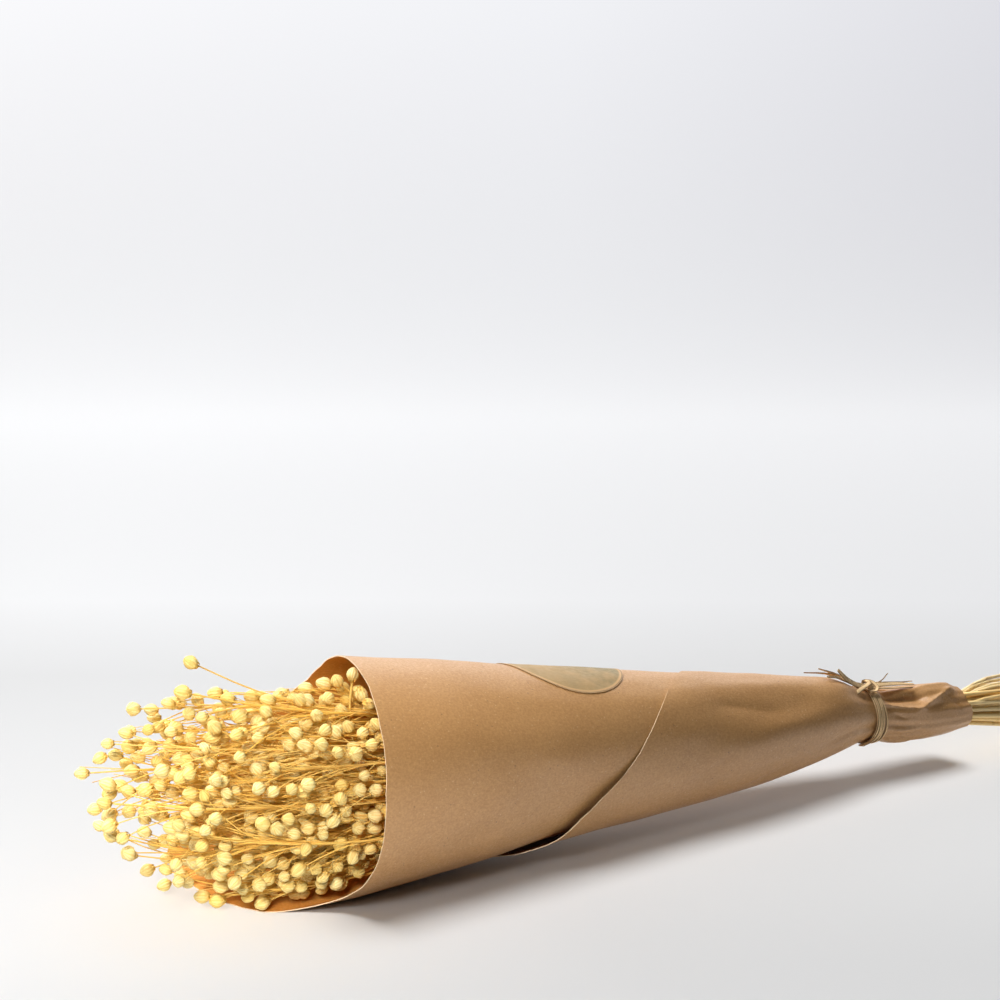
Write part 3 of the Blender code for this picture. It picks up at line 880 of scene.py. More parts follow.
@dataclass
class KraftWrap:
    """The kraft paper: the rolled sheet and the outer turn with its slanting free edge.

    Each step of the seam holds an angle round the cone and the free edge's place along it.
    """

    cone: RolledCone
    thickness: float = 0.00050
    roll_grid: tuple[int, int] = (190, 150)
    turn_grid: tuple[int, int] = (60, 130)
    row_knots: Table = ((0.1, 0.020), (0.5, 0.285))
    same_spot: float = 0.00002
    seam: Table = (
        (-300, 0.304), (-272, 0.282), (-240, 0.254), (-212, 0.229), (-193, 0.2150), (-165, 0.1965),
        (-142, 0.1812), (-120.5, 0.1670), (-101, 0.1537), (-87.5, 0.1420), (-74, 0.1295), (-61, 0.1190),
        (-44.5, 0.1110), (-35.5, 0.1045), (-30.5, 0.0995), (-27, 0.0962), (-19, 0.0920), (0, 0.0760),
        (12, 0.0600),
    )
    turn_angles: Span = (12.0, -300.0)
    turn_fades: Span = (14.0, 30.0)
    turn_end: float = 0.320
    turn_end_fade: float = 0.020
    turn_crowding: float = 1.6
    turn_sunk: float = 0.0003
    step: float = 0.0009
    opening: float = 0.0014
    opening_at: float = 0.112
    opening_length: float = 0.030
    opening_depth: float = 0.016
    opening_fall: float = 1.4
    slack: float = 0.0022
    slack_from: Span = (0.068, 0.113)
    slack_to: Span = (0.200, 0.260)
    slack_middle: float = -35.0
    slack_angles: Span = (40.0, 72.0)

    def sheet(self, name: str, grid: tuple[int, int], place: Callable[[float, float], Vector]) -> Piece:
        """Make a grid and lay each of its corners on the rolled paper.

        Args:
            name: The object's name.
            grid: Faces along the sheet and across it.
            place: Gives a corner's place from its share along and across the sheet.

        Returns:
            The laid sheet, still without thickness.
        """
        rows, columns = grid
        sheet = add_mesh(bpy.ops.mesh.primitive_grid_add, name, x_subdivisions=rows,
                         y_subdivisions=columns, size=1.0)
        for corner in sheet.data.vertices:
            corner.co = place(corner.co.x + 0.5, corner.co.y + 0.5)
        return sheet

    def lay_roll(self, along: float, round_: float) -> Vector:
        """Place a corner of the rolled sheet, which gives way under the outer turn's free edge.

        Args:
            along: The corner's share of the rows.
            round_: Its share of the way round.

        Returns:
            The corner's place.
        """
        angle = -180 + 360 * round_
        rows = ((0.0, self.cone.front(angle)), *self.row_knots, (1.0, self.cone.tail(angle)))
        x = along_table(rows, along, 1)
        sag = self.slack * ease(x, *self.slack_from) * (1 - ease(x, *self.slack_to))
        sag *= 1 - ease(abs(angle - self.slack_middle), *self.slack_angles)
        return self.cone.surface(x, angle, -sag)

    def lay_turn(self, along: float, round_: float) -> Vector:
        """Place a corner of the outer turn, which stands off the roll along its free edge.

        Args:
            along: The corner's share of the way from the free edge to the neck.
            round_: Its share of the way round.

        Returns:
            The corner's place.
        """
        first, last = self.turn_angles
        angle = first + (last - first) * round_
        edge = along_table(self.seam, angle, 1)
        x = edge + (self.turn_end - edge) * along**self.turn_crowding
        behind = (x - edge) / self.opening_depth
        loose = self.opening * math.exp(-(((edge - self.opening_at) / self.opening_length) ** 2))
        lift = self.step + loose * math.exp(-behind * self.opening_fall)
        first_fade, last_fade = self.turn_fades
        shown = smooth_step((first - angle) / first_fade) * smooth_step((angle - last) / last_fade)
        shown *= smooth_step((self.turn_end - x) / self.turn_end_fade)
        return self.cone.surface(x, angle, lift * shown - self.turn_sunk * (1 - shown))

    def build(self, outside: Material, inside: Material, cut: Material, painted_shade_inside: Material) -> Piece:
        """Build the paper.

        Args:
            outside: Finish of the outer face.
            inside: Finish of the inner face.
            cut: Finish of the cut edges, painted paler than the paper as a painted highlight.
            painted_shade_inside: Finish of the outer turn's inner face, dark red-brown as painted shade of
                the gap under the turn.

        Returns:
            The finished piece.
        """
        roll = self.sheet("kraft_wrap", self.roll_grid, self.lay_roll)
        edit_all(roll, lambda: bpy.ops.mesh.remove_doubles(threshold=self.same_spot))
        turn = self.sheet("outer_turn", self.turn_grid, self.lay_turn)
        probe = self.cone.point(0.25, 180, 0.02)
        for sheet, inner in ((roll, inside), (turn, painted_shade_inside)):
            for finish in (outside, inner, cut):
                sheet.data.materials.append(finish)
            face_up(sheet, probe)
            thicken(sheet, self.thickness, inner=1, edge=2)
        join_into(roll, [turn])
        shade_smooth(roll, 50)
        return settle(roll, ["paper_wrap"])


@dataclass
class RoundLabel:
    """The round sticker on top of the cone."""

    cone: RolledCone
    radius: float = 0.0340
    at: float = 0.1360
    angle: float = -191.5
    clearance: float = 0.0003
    thickness: float = 0.00022
    rings: int = 14
    spokes: int = 96

    def build(self, finish: Material) -> Piece:
        """Build the label: a disc of rings, bent round the cone.

        Args:
            finish: The label's material.

        Returns:
            The finished piece.
        """
        label = add_mesh(bpy.ops.mesh.primitive_circle_add, "label_disc", vertices=self.spokes,
                         radius=self.radius, fill_type="NOTHING")
        edit_all(label, self.fill_rings)
        self.bend(label)
        label.data.materials.append(finish)
        face_up(label, self.cone.point(self.at, self.angle, self.radius))
        thicken(label, self.thickness)
        shade_smooth(label, 50)
        return settle(label, ["round_label"])

    def fill_rings(self) -> None:
        """Fill the selected circle with smaller and smaller rings, down to its middle."""
        for ring in range(1, self.rings):
            share = (self.rings - ring) / (self.rings - ring + 1)
            bpy.ops.mesh.extrude_edges_move()
            bpy.ops.transform.resize(value=(share, share, share), center_override=(0, 0, 0))
        bpy.ops.mesh.merge(type="CENTER")

    def bend(self, label: Piece) -> None:
        """Lay the flat disc on the cone and keep its flat place as a UV map."""
        flat = [corner.co.copy() for corner in label.data.vertices]
        layout = label.data.uv_layers.new(name="disc")
        for loop in label.data.loops:
            spot = flat[loop.vertex_index]
            layout.data[loop.index].uv = (0.5 + spot.x / self.radius / 2, 0.5 + spot.y / self.radius / 2)
        radius = self.cone.section(self.at, 1)
        for corner, spot in zip(label.data.vertices, flat):
            angle = self.angle + math.degrees(spot.y / radius)
            corner.co = self.cone.surface(self.at + spot.x, angle, self.clearance + self.thickness)


# The tie


class StrandLay(Enum):
    """How a strand of raffia lies: how much it twists, in turns, and how far it faces the near side."""

    WOUND = (0.0, 0.0)
    LOOSE = (0.35, 0.45)
    LOOP = (0.15, 0.45)
    FLAT = (0.10, 0.8)


@dataclass(frozen=True)
class LooseEnd:
    """A free strand: how it lies, its width, its far end's share of that, and its route."""

    name: str
    lay: StrandLay
    width: float
    taper: float
    route: tuple[Place, ...]


@dataclass
class RaffiaTie:
    """The raffia wound round the neck, its knot and its loose ends.

    The loose ends' routes are points in the cone's frame.
    """

    cone: RolledCone
    at: float = 0.3328
    spread: float = 0.0112
    fan: Span = (0.76, 0.24)
    width: float = 0.00138
    width_range: Span = (0.85, 1.15)
    depth: float = 0.00080
    pressed: float = 0.8
    clearance: float = 0.0005
    ripple: float = 0.0003
    wander_range: Span = (0.0002, 0.0005)
    lap: float = 362.0
    sides: int = 8
    turns: int = 11
    steps: int = 72
    print_step: float = 0.12
    seed: int = 5
    ends: tuple[LooseEnd, ...] = (
        LooseEnd("left_wide", StrandLay.FLAT, 0.0036, 0.5, (
            (0.3325, -0.0040, 0.0560), (0.3279, -0.0050, 0.0560), (0.3221, -0.0050, 0.0584),
            (0.3171, -0.0050, 0.0614), (0.3128, -0.0050, 0.0651), (0.3092, -0.0050, 0.0688))),
        LooseEnd("left_long", StrandLay.LOOSE, 0.0026, 0.35, (
            (0.3325, -0.0020, 0.0556), (0.3231, -0.0020, 0.0580), (0.3152, -0.0020, 0.0622),
            (0.3074, -0.0020, 0.0665), (0.2980, -0.0020, 0.0704))),
        LooseEnd("left_low", StrandLay.FLAT, 0.0024, 0.4, (
            (0.3325, -0.0025, 0.0556), (0.3240, -0.0030, 0.0577), (0.3165, -0.0040, 0.0612),
            (0.3095, -0.0050, 0.0645), (0.3010, -0.0060, 0.0662))),
        LooseEnd("left_far", StrandLay.LOOSE, 0.0022, 0.35, (
            (0.3325, -0.0010, 0.0556), (0.3235, 0.0000, 0.0578), (0.3150, 0.0015, 0.0618),
            (0.3060, 0.0030, 0.0652), (0.2930, 0.0045, 0.0672))),
        LooseEnd("left_split", StrandLay.LOOSE, 0.0018, 0.3, (
            (0.3240, -0.0015, 0.0578), (0.3160, -0.0028, 0.0619), (0.3090, -0.0032, 0.0659),
            (0.3035, -0.0030, 0.0672))),
        LooseEnd("right_wide", StrandLay.FLAT, 0.0034, 0.75, (
            (0.3325, -0.0030, 0.0556), (0.3424, -0.0020, 0.0546), (0.3541, -0.0010, 0.0529),
            (0.3622, 0.0000, 0.0514), (0.3676, 0.0005, 0.0504))),
        LooseEnd("right_low", StrandLay.FLAT, 0.0018, 0.4, (
            (0.3330, -0.0055, 0.0550), (0.3430, -0.0050, 0.0532), (0.3530, -0.0040, 0.0516),
            (0.3640, -0.0035, 0.0500))),
        LooseEnd("right_top", StrandLay.LOOSE, 0.0013, 0.4, (
            (0.3330, 0.0000, 0.0560), (0.3410, 0.0005, 0.0554), (0.3500, 0.0010, 0.0540),
            (0.3600, 0.0015, 0.0524), (0.3680, 0.0020, 0.0516))),
        LooseEnd("right_sliver", StrandLay.LOOSE, 0.0012, 0.3, (
            (0.3345, 0.0000, 0.0556), (0.3395, 0.0000, 0.0550), (0.3446, 0.0000, 0.0564),
            (0.3487, 0.0000, 0.0598))),
        LooseEnd("flat_loop", StrandLay.FLAT, 0.0028, 1.0, (
            (0.3191, -0.0092, 0.0552), (0.3233, -0.0084, 0.0566), (0.3290, -0.0066, 0.0577),
            (0.3322, -0.0040, 0.0576), (0.3335, -0.0010, 0.0560))),
        LooseEnd("knot_cross", StrandLay.LOOP, 0.0026, 1.0, (
            (0.3300, -0.0088, 0.0528), (0.3312, -0.0064, 0.0558), (0.3322, -0.0030, 0.0582),
            (0.3332, 0.0010, 0.0572), (0.3330, 0.0040, 0.0545))),
        LooseEnd("knot_turn", StrandLay.LOOP, 0.0020, 1.0, (
            (0.3282, -0.0030, 0.0558), (0.3290, -0.0078, 0.0548), (0.3330, -0.0090, 0.0542),
            (0.3362, -0.0062, 0.0554), (0.3356, -0.0020, 0.0572), (0.3312, 0.0000, 0.0575),
            (0.3280, -0.0026, 0.0562))),
        LooseEnd("under_loop", StrandLay.LOOP, 0.0017, 0.9, (
            (0.3300, -0.0143, 0.0304), (0.3275, -0.0128, 0.0268), (0.3254, -0.0112, 0.0250),
            (0.3240, -0.0100, 0.0241), (0.3248, -0.0068, 0.0233), (0.3272, -0.0066, 0.0234),
            (0.3303, -0.0091, 0.0246))),
        LooseEnd("under_end", StrandLay.LOOSE, 0.0014, 0.6, (
            (0.3305, -0.0132, 0.0285), (0.3278, -0.0108, 0.0252), (0.3260, -0.0088, 0.0240),
            (0.3252, -0.0062, 0.0232))),
    )

    def strand(self, name: str, points: Sequence[Vector], normals: Sequence[Vector], width: float,
               depth: float, lay: StrandLay, taper: float = 1.0) -> Piece:
        """Bend a cylinder into a flat strand that follows a line of points.

        Args:
            name: The strand's name.
            points: The line that its middle follows.
            normals: Which way its flat side looks at each point.
            width: Its width.
            depth: Its thickness.
            lay: How it lies.
            taper: Its width at its last point, as a share of its full width.

        Returns:
            The strand.
        """
        count = len(points) - 1

        def slice_across() -> None:
            """Cut the selected cylinder across, once for each point between its ends."""
            for k in range(1, count):
                bpy.ops.mesh.select_all(action="SELECT")
                bpy.ops.mesh.bisect(plane_co=(0, 0, k / count - 0.5), plane_no=(0, 0, 1))

        piece = add_mesh(bpy.ops.mesh.primitive_cylinder_add, name, vertices=self.sides, radius=0.5,
                         depth=1.0, end_fill_type="TRIFAN")
        edit_all(piece, slice_across)
        mesh = piece.data
        layout = mesh.uv_layers.new(name="strand")
        for loop in mesh.loops:
            spot = mesh.vertices[loop.vertex_index].co
            along = (spot.z + 0.5) * count * self.print_step
            layout.data[loop.index].uv = (along, math.atan2(spot.y, spot.x) / math.tau)
        for corner in mesh.vertices:
            k = min(max(round((corner.co.z + 0.5) * count), 0), count)
            forward = (points[min(k + 1, count)] - points[max(k - 1, 0)]).normalized()
            up = (normals[k] - forward * normals[k].dot(forward)).normalized()
            side = forward.cross(up)
            turn = lay.value[0] * math.tau * k / count
            over = corner.co.x * width * (1 + (taper - 1) * (k / count) ** 2)
            rise = corner.co.y * depth
            across = math.cos(turn) * side + math.sin(turn) * up
            away = math.cos(turn) * up - math.sin(turn) * side
            corner.co = points[k] + across * over + away * rise
        return piece

    def winding(self, number: int, chance: random.Random) -> Piece:
        """Wind one strand once round the neck, in the lower layer or on top of it.

        Args:
            number: Which strand it is, from the mouth's side.
            chance: Where its small wanderings come from.

        Returns:
            The strand.
        """
        lower = self.turns // 2 + 1
        layer = int(number >= lower)
        share = (number - lower + 1) / lower if layer else (number + 0.5) / lower
        wander = chance.uniform(*self.wander_range)
        phase = chance.uniform(0, 360)
        lift = self.clearance + layer * self.depth * self.pressed
        narrow, wide = self.fan
        points, normals = [], []
        for k in range(self.steps + 1):
            angle = self.lap * k / self.steps - 180
            fan = narrow + wide * math.cos(math.radians(angle))
            x = self.at + (share - 0.5) * self.spread * fan
            x += wander * math.sin(math.radians(2 * angle + phase))
            ripple = self.ripple * math.sin(math.radians(3 * angle + phase))
            points.append(self.cone.point(x, angle, lift + ripple))
            normals.append(self.cone.point(x, angle, 0.01) - self.cone.point(x, angle, 0.0))
        width = self.width * chance.uniform(*self.width_range)
        return self.strand(f"winding_{number}", points, normals, width, self.depth, StrandLay.WOUND)

    def free_end(self, end: LooseEnd) -> Piece:
        """Lay a loose strand along its route, smoothed."""
        shift = Vector((*self.cone.middle, 0.0))
        points = smooth_line([Vector(spot) - shift for spot in end.route], 5)
        normals = [Vector((0.1, -end.lay.value[1], 1.0))] * len(points)
        depth = self.depth * self.pressed
        return self.strand(end.name, points, normals, end.width, depth, end.lay, end.taper)

    def build(self, finish: Material) -> Piece:
        """Build the tie.

        Args:
            finish: The raffia's material.

        Returns:
            The finished piece.
        """
        chance = random.Random(self.seed)
        tie, *others = [self.winding(number, chance) for number in range(self.turns)]
        others += [self.free_end(end) for end in self.ends]
        for strand in (tie, *others):
            strand.data.materials.append(finish)
        tie.name = "raffia_strands"
        join_into(tie, others)
        edit_all(tie, lambda: bpy.ops.mesh.normals_make_consistent(inside=False))
        shade_smooth(tie, 60)
        return settle(tie, ["raffia_tie"])


def smooth_line(points: Sequence[Vector], steps: int) -> list[Vector]:
    """Round a line of points by a curve through all of them.

    Args:
        points: The points to pass through.
        steps: Pieces between each two points.

    Returns:
        The curve's points, the first and last as given.
    """
    spread = [points[0] * 2 - points[1], *points, points[-1] * 2 - points[-2]]
    line = []
    for a, b, c, d in zip(spread, spread[1:], spread[2:], spread[3:]):
        for k in range(steps):
            t = k / steps
            bend = 2 * b + (c - a) * t + (2 * a - 5 * b + 4 * c - d) * t**2 + (3 * b - a - 3 * c + d) * t**3
            line.append(bend * 0.5)
    return [*line, points[-1].copy()]


# The flax


class Room:
    """The space that stalks have taken so far, as rods with round ends."""

    def __init__(self) -> None:
        """Start empty."""
        self.starts = np.zeros((0, 3))
        self.ends = np.zeros((0, 3))
        self.radii = np.zeros(0)
        self.owners = np.zeros(0)

    def add(self, rods: Iterable[Rod], owner: int = 0) -> None:
        """Take the space of some rods.

        Args:
            rods: Start, end and radius of each.
            owner: Number of the stalk they belong to.
        """
        for start, end, radius in rods:
            self.starts = np.vstack([self.starts, np.array(start)])
            self.ends = np.vstack([self.ends, np.array(end)])
            self.radii = np.append(self.radii, radius)
            self.owners = np.append(self.owners, owner)

    def free(self, rods: Iterable[Rod], owner: int | None = None, gap: float = GAP) -> bool:
        """Tell whether no rod comes too near to one there that isn't the owner's.

        Args:
            rods: Start, end and radius of each.
            owner: Number of the stalk whose own rods are left out.
            gap: The least clear space.

        Returns:
            Whether all the rods are clear.
        """
        others = self.owners != owner
        for start, end, radius in rods:
            reach = self.nearest(np.array(start), np.array(end)) - self.radii - radius
            if (reach[others] < gap).any():
                return False
        return True

    def nearest(self, start: np.ndarray, end: np.ndarray) -> np.ndarray:
        """Distance from one rod's middle line to every other's."""
        d1, d2, r = end - start, self.ends - self.starts, start - self.starts
        a, e = max(d1 @ d1, 1e-12), np.maximum((d2 * d2).sum(1), 1e-12)
        b, c, f = d2 @ d1, r @ d1, (d2 * r).sum(1)
        s = np.clip((b * f - c * e) / np.maximum(a * e - b * b, 1e-14), 0, 1)
        t = np.clip((b * s + f) / e, 0, 1)
        s = np.clip((b * t - c) / a, 0, 1)
        gap = (start + s[:, None] * d1) - (self.starts + t[:, None] * d2)
        return np.sqrt((gap * gap).sum(1))


@dataclass
class Twig:
    """A stem or side branch: the line it follows, its radii, and whether it bears a head."""

    line: list[Vector]
    radii: list[float]
    head: Vector | None = None


@dataclass
class Stalk:
    """One grown stalk: its stem's corner points and all its twigs."""

    number: int
    points: list[Vector]
    twigs: list[Twig]


@dataclass(frozen=True)
class Branching:
    """How one kind of side branch grows.

    Along is where on a stalk's forking part, length how far along the stem's heading, and spread
    how far out, as a share of the length.
    """

    along: Span
    length: Span
    spread: Span


@dataclass(frozen=True)
class Sprout:
    """A side branch's root, the stem's heading there, the branch's tip and its length."""

    root: Vector
    heading: Vector
    tip: Vector
    length: float


@dataclass
class FlaxGrower:
    """Grows the stalks exactly where the solids have them, then the finer twigs between.

    Each step of the guide holds a place along the bunch, the height of its middle and its radius.
    """

    stalks: int = 30
    cut_radius: float = 0.00125
    mouth_radius: float = 0.00090
    tip_radius: float = 0.00070
    branch_radius: float = 0.00055
    head_radius: float = 0.0039
    branches: int = 5
    forks: Branching = Branching((0.1, 0.8), (0.030, 0.062), (0.20, 0.42))
    fork_tries: int = 400
    fork_radius: float = 0.00032
    free_from: float = 0.2
    rooted: float = 0.001
    branch_bend: float = 0.45
    branch_taper: tuple[float, ...] = (1.3, 1.0, 1.0, 1.0, 0.9)
    foot_at: float = 0.85
    paper: float = 0.0008
    cut_end: float = 0.500
    cut_spread: float = 0.016
    fork_start: float = 0.012
    fork_range: Span = (-0.01, 0.02)
    bow_steps: int = 3
    tip_range: Span = (-0.105, -0.030)
    cloud_front: float = -0.124
    cloud_margin: float = 0.004
    stem_tries: int = 400
    tip_tries: int = 14
    tip_nudge: float = 0.0003
    drift_tries: int = 8
    stem_drift: float = 0.008
    guide: Table = (
        (-0.134, 0.0760, 0.0050), (-0.126, 0.0740, 0.0220), (-0.090, 0.0660, 0.0400),
        (-0.050, 0.0585, 0.0470), (0.000, 0.0540, 0.0460), (0.060, 0.0505, 0.0420),
        (0.150, 0.0445, 0.0320), (0.250, 0.0385, 0.0190), (0.312, 0.0378, 0.0122),
        (0.334, 0.0380, 0.0108), (0.370, 0.0337, 0.0106), (0.400, 0.0316, 0.0090),
        (0.431, 0.0290, 0.0122), (0.500, 0.0190, 0.0165),
    )
    stem_widths: Table = (
        (-0.13, 0.00034), (-0.05, 0.00042), (0.0, 0.00060),
        (0.30, 0.00095), (0.41, 0.00128), (0.50, 0.00142),
    )
    stations: tuple[float, ...] = (0.400, 0.370, 0.334, 0.110)
    outer_tips: tuple[Place, ...] = (
        (-0.073, 0.0020, 0.1280), (-0.081, -0.0060, 0.1165), (-0.102, 0.0040, 0.1090),
        (-0.119, -0.0080, 0.0990), (-0.128, 0.0060, 0.0810), (-0.125, -0.0140, 0.0720),
        (-0.117, 0.0000, 0.0500), (-0.102, 0.0140, 0.0330), (-0.088, 0.0280, 0.0180),
        (-0.068, 0.0080, 0.0070), (-0.040, 0.0020, 0.1115), (0.010, -0.0010, 0.1100),
        (-0.036, -0.0060, 0.0075),
    )
    seed: int = 7

    def guide_point(self, x: float, across: float, up: float) -> Vector:
        """Point of the bunch at x for a stalk whose place in the round section is given."""
        radius = along_table(self.guide, x, 2)
        return Vector((x, across * radius, along_table(self.guide, x, 1) + up * radius))

    def bow(self, start: Vector, bend: Vector, end: Vector, count: int) -> list[Vector]:
        """Points of a bow of count pieces from start to end that leaves towards bend."""
        shares = [k / count for k in range(count + 1)]
        return [(1 - t) ** 2 * start + 2 * t * (1 - t) * bend + t * t * end for t in shares]

    def rods_of(self, points: Sequence[Vector], radii: Sequence[float]) -> list[Rod]:
        """Rods between each two points, as thick as the thicker end."""
        return [(a, b, max(ra, rb)) for a, b, ra, rb in zip(points, points[1:], radii, radii[1:])]

    def inside_cloud(self, point: Vector, margin: float | None = None) -> bool:
        """Tell whether a head's middle lies in the cloud of heads and above table and lip."""
        radius = along_table(self.guide, point.x, 2) + (self.cloud_margin if margin is None else margin)
        middle = along_table(self.guide, point.x, 1)
        low = self.paper + self.head_radius + GAP
        within = math.hypot(point.y, point.z - middle) < radius
        return point.x > self.cloud_front and within and point.z > low

    def stalk_places(self) -> list[Span]:
        """Where each stalk stands in the round section, evenly spread like seeds in a head."""
        places = []
        for k in range(self.stalks):
            radius = math.sqrt((k + 0.5) / (self.stalks - 0.5))
            places.append((radius * math.cos(k * GOLDEN_ANGLE), radius * math.sin(k * GOLDEN_ANGLE)))
        return places

    def tip_places(self, chance: random.Random) -> tuple[list[Span], dict[int, Vector]]:
        """Choose a tip for each stalk: the heads that stand out, and the rest spread between.

        Args:
            chance: Where the choice comes from.

        Returns:
            The stalks' places in the section and their tips by number.
        """
        places = self.stalk_places()
        tips: dict[int, Vector] = {}
        for tip in self.outer_tips:
            radius = along_table(self.guide, tip[0], 2)
            at = (tip[1] / radius, (tip[2] - along_table(self.guide, tip[0], 1)) / radius)
            free = [k for k in range(self.stalks) if k not in tips]
            tips[min(free, key=lambda k: math.dist(places[k], at))] = Vector(tip)
        for k in range(self.stalks):
            if k not in tips:
                tips[k] = self.guide_point(chance.uniform(*self.tip_range), *places[k])
        return places, tips

    def grow_stem(self, room: Room, stand: Span, tip: Vector,
                  chance: random.Random) -> tuple[list[Vector], list[Rod]] | None:
        """Grow one stem from its cut end to its tip, clear of those there.

        Args:
            room: The space already taken.
            stand: The stem's place in the round section.
            tip: Where its head should be.
            chance: Where its wanderings come from.

        Returns:
            Its points and rods, or None where there is no room.
        """
        for attempt in range(self.stem_tries):
            drift = self.stem_drift * min(attempt, self.drift_tries)
            across = stand[0] + chance.uniform(-drift, drift)
            up = stand[1] + chance.uniform(-drift, drift)
            cut = self.cut_end - self.cut_spread * chance.random()
            points = [self.guide_point(x, across, up) for x in [cut, *self.stations]]
            points[0].z = max(points[0].z, self.cut_radius)
            fork = self.guide_point(self.fork_start + chance.uniform(*self.fork_range), across, up)
            nudge = self.tip_nudge * min(attempt, self.tip_tries)
            end = tip + Vector([chance.uniform(-nudge, nudge) for _ in range(3)])
            end.z = max(end.z, self.paper + self.head_radius + GAP)
            heading = (fork - points[-1]).normalized()
            points += self.bow(fork, fork + heading * (end - fork).length * 0.5, end, self.bow_steps)
            radii = [self.cut_radius] * (len(self.stations) - 1)
            radii += [self.mouth_radius] * (len(points) - len(radii) - self.bow_steps)
            radii += [self.tip_radius] * self.bow_steps
            rods = self.rods_of(points, radii)
            rods.append((end, end, self.head_radius))
            if room.free(rods):
                return points, rods
        return None

    def branch_off(self, stem: Sequence[Vector], kind: Branching, chance: random.Random) -> Sprout:
        """Choose where a side branch leaves a stem and where its tip is.

        Args:
            stem: The stem's points.
            kind: The kind of branch.
            chance: Where its shape comes from.

        Returns:
            The branch's start and tip.
        """
        share = chance.uniform(*kind.along) * self.bow_steps
        piece = int(share)
        first, second = stem[piece - self.bow_steps - 1], stem[piece - self.bow_steps]
        root = first.lerp(second, share - piece)
        heading = (second - first).normalized()
        length = chance.uniform(*kind.length)
        turn = chance.uniform(0, math.tau)
        side = heading.cross(UP).normalized()
        away = math.cos(turn) * side + math.sin(turn) * side.cross(heading)
        tip = root + heading * length + away * length * chance.uniform(*kind.spread)
        return Sprout(root, heading, tip, length)

    def grow_branch(self, room: Room, own: Room, owner: int, stem: Sequence[Vector],
                    chance: random.Random) -> tuple[Sprout, list[Rod]] | None:
        """Grow one side branch with its head, clear of other stalks and its own heads.

        Args:
            room: The space that all stalks have taken.
            own: The space that this stalk's heads and branches have taken.
            owner: The stalk's number.
            stem: The stem's points.
            chance: Where the branch's shape comes from.

        Returns:
            The branch and its rods, or None without room.
        """
        for _ in range(self.fork_tries):
            sprout = self.branch_off(stem, self.forks, chance)
            head = sprout.tip
            if not self.inside_cloud(head):
                continue
            clear_root = sprout.root.lerp(head, self.free_from)
            rods = [(clear_root, head, self.branch_radius), (head, head, self.head_radius)]
            if room.free(rods, owner) and own.free(rods):
                return sprout, rods
        return None

    def branch_twig(self, sprout: Sprout, radius: float) -> Twig:
        """Give a branch its slightly bowed line from the stem to its head's foot."""
        root, heading, head = sprout.root, sprout.heading, sprout.tip
        bend = root + heading * (head - root).length * self.branch_bend
        line = self.bow(root - heading * self.rooted, bend, head, len(self.branch_taper) - 1)
        foot = head - (head - line[-2]).normalized() * self.head_radius * self.foot_at
        return Twig([*line[:-1], foot], [radius * share for share in self.branch_taper], head)

    def stem_twig(self, points: Sequence[Vector]) -> Twig:
        """Give a stem its rounded line, thin at its tip and thick at its cut end."""
        line = smooth_line(points, 3)
        foot = line[-1] - (line[-1] - line[-2]).normalized() * self.head_radius * self.foot_at
        radii = [along_table(self.stem_widths, spot.x, 1) for spot in line]
        return Twig([*line[:-1], foot], radii, points[-1])

    def grow(self) -> tuple[Room, list[Stalk]]:
        """Grow the stalks that the solids have.

        Returns:
            The space they take, and the stalks in the order of the solids' numbers.
        """
        chance = random.Random(self.seed)
        places, tips = self.tip_places(chance)
        room = Room()
        stems = {}
        for k, tip in tips.items():
            stem = self.grow_stem(room, places[k], tip, chance)
            if stem:
                stems[k] = stem
                room.add(stem[1], k)
        grown = []
        for k, (points, rods) in stems.items():
            own = Room()
            own.add(rods[-1:])
            twigs = [self.stem_twig(points)]
            for _ in range(self.branches):
                branch = self.grow_branch(room, own, k, points, chance)
                if branch:
                    own.add(branch[1])
                    room.add(branch[1], k)
                    twigs.append(self.branch_twig(branch[0], self.fork_radius))
            grown.append(Stalk(k, points, twigs))
        return room, grown


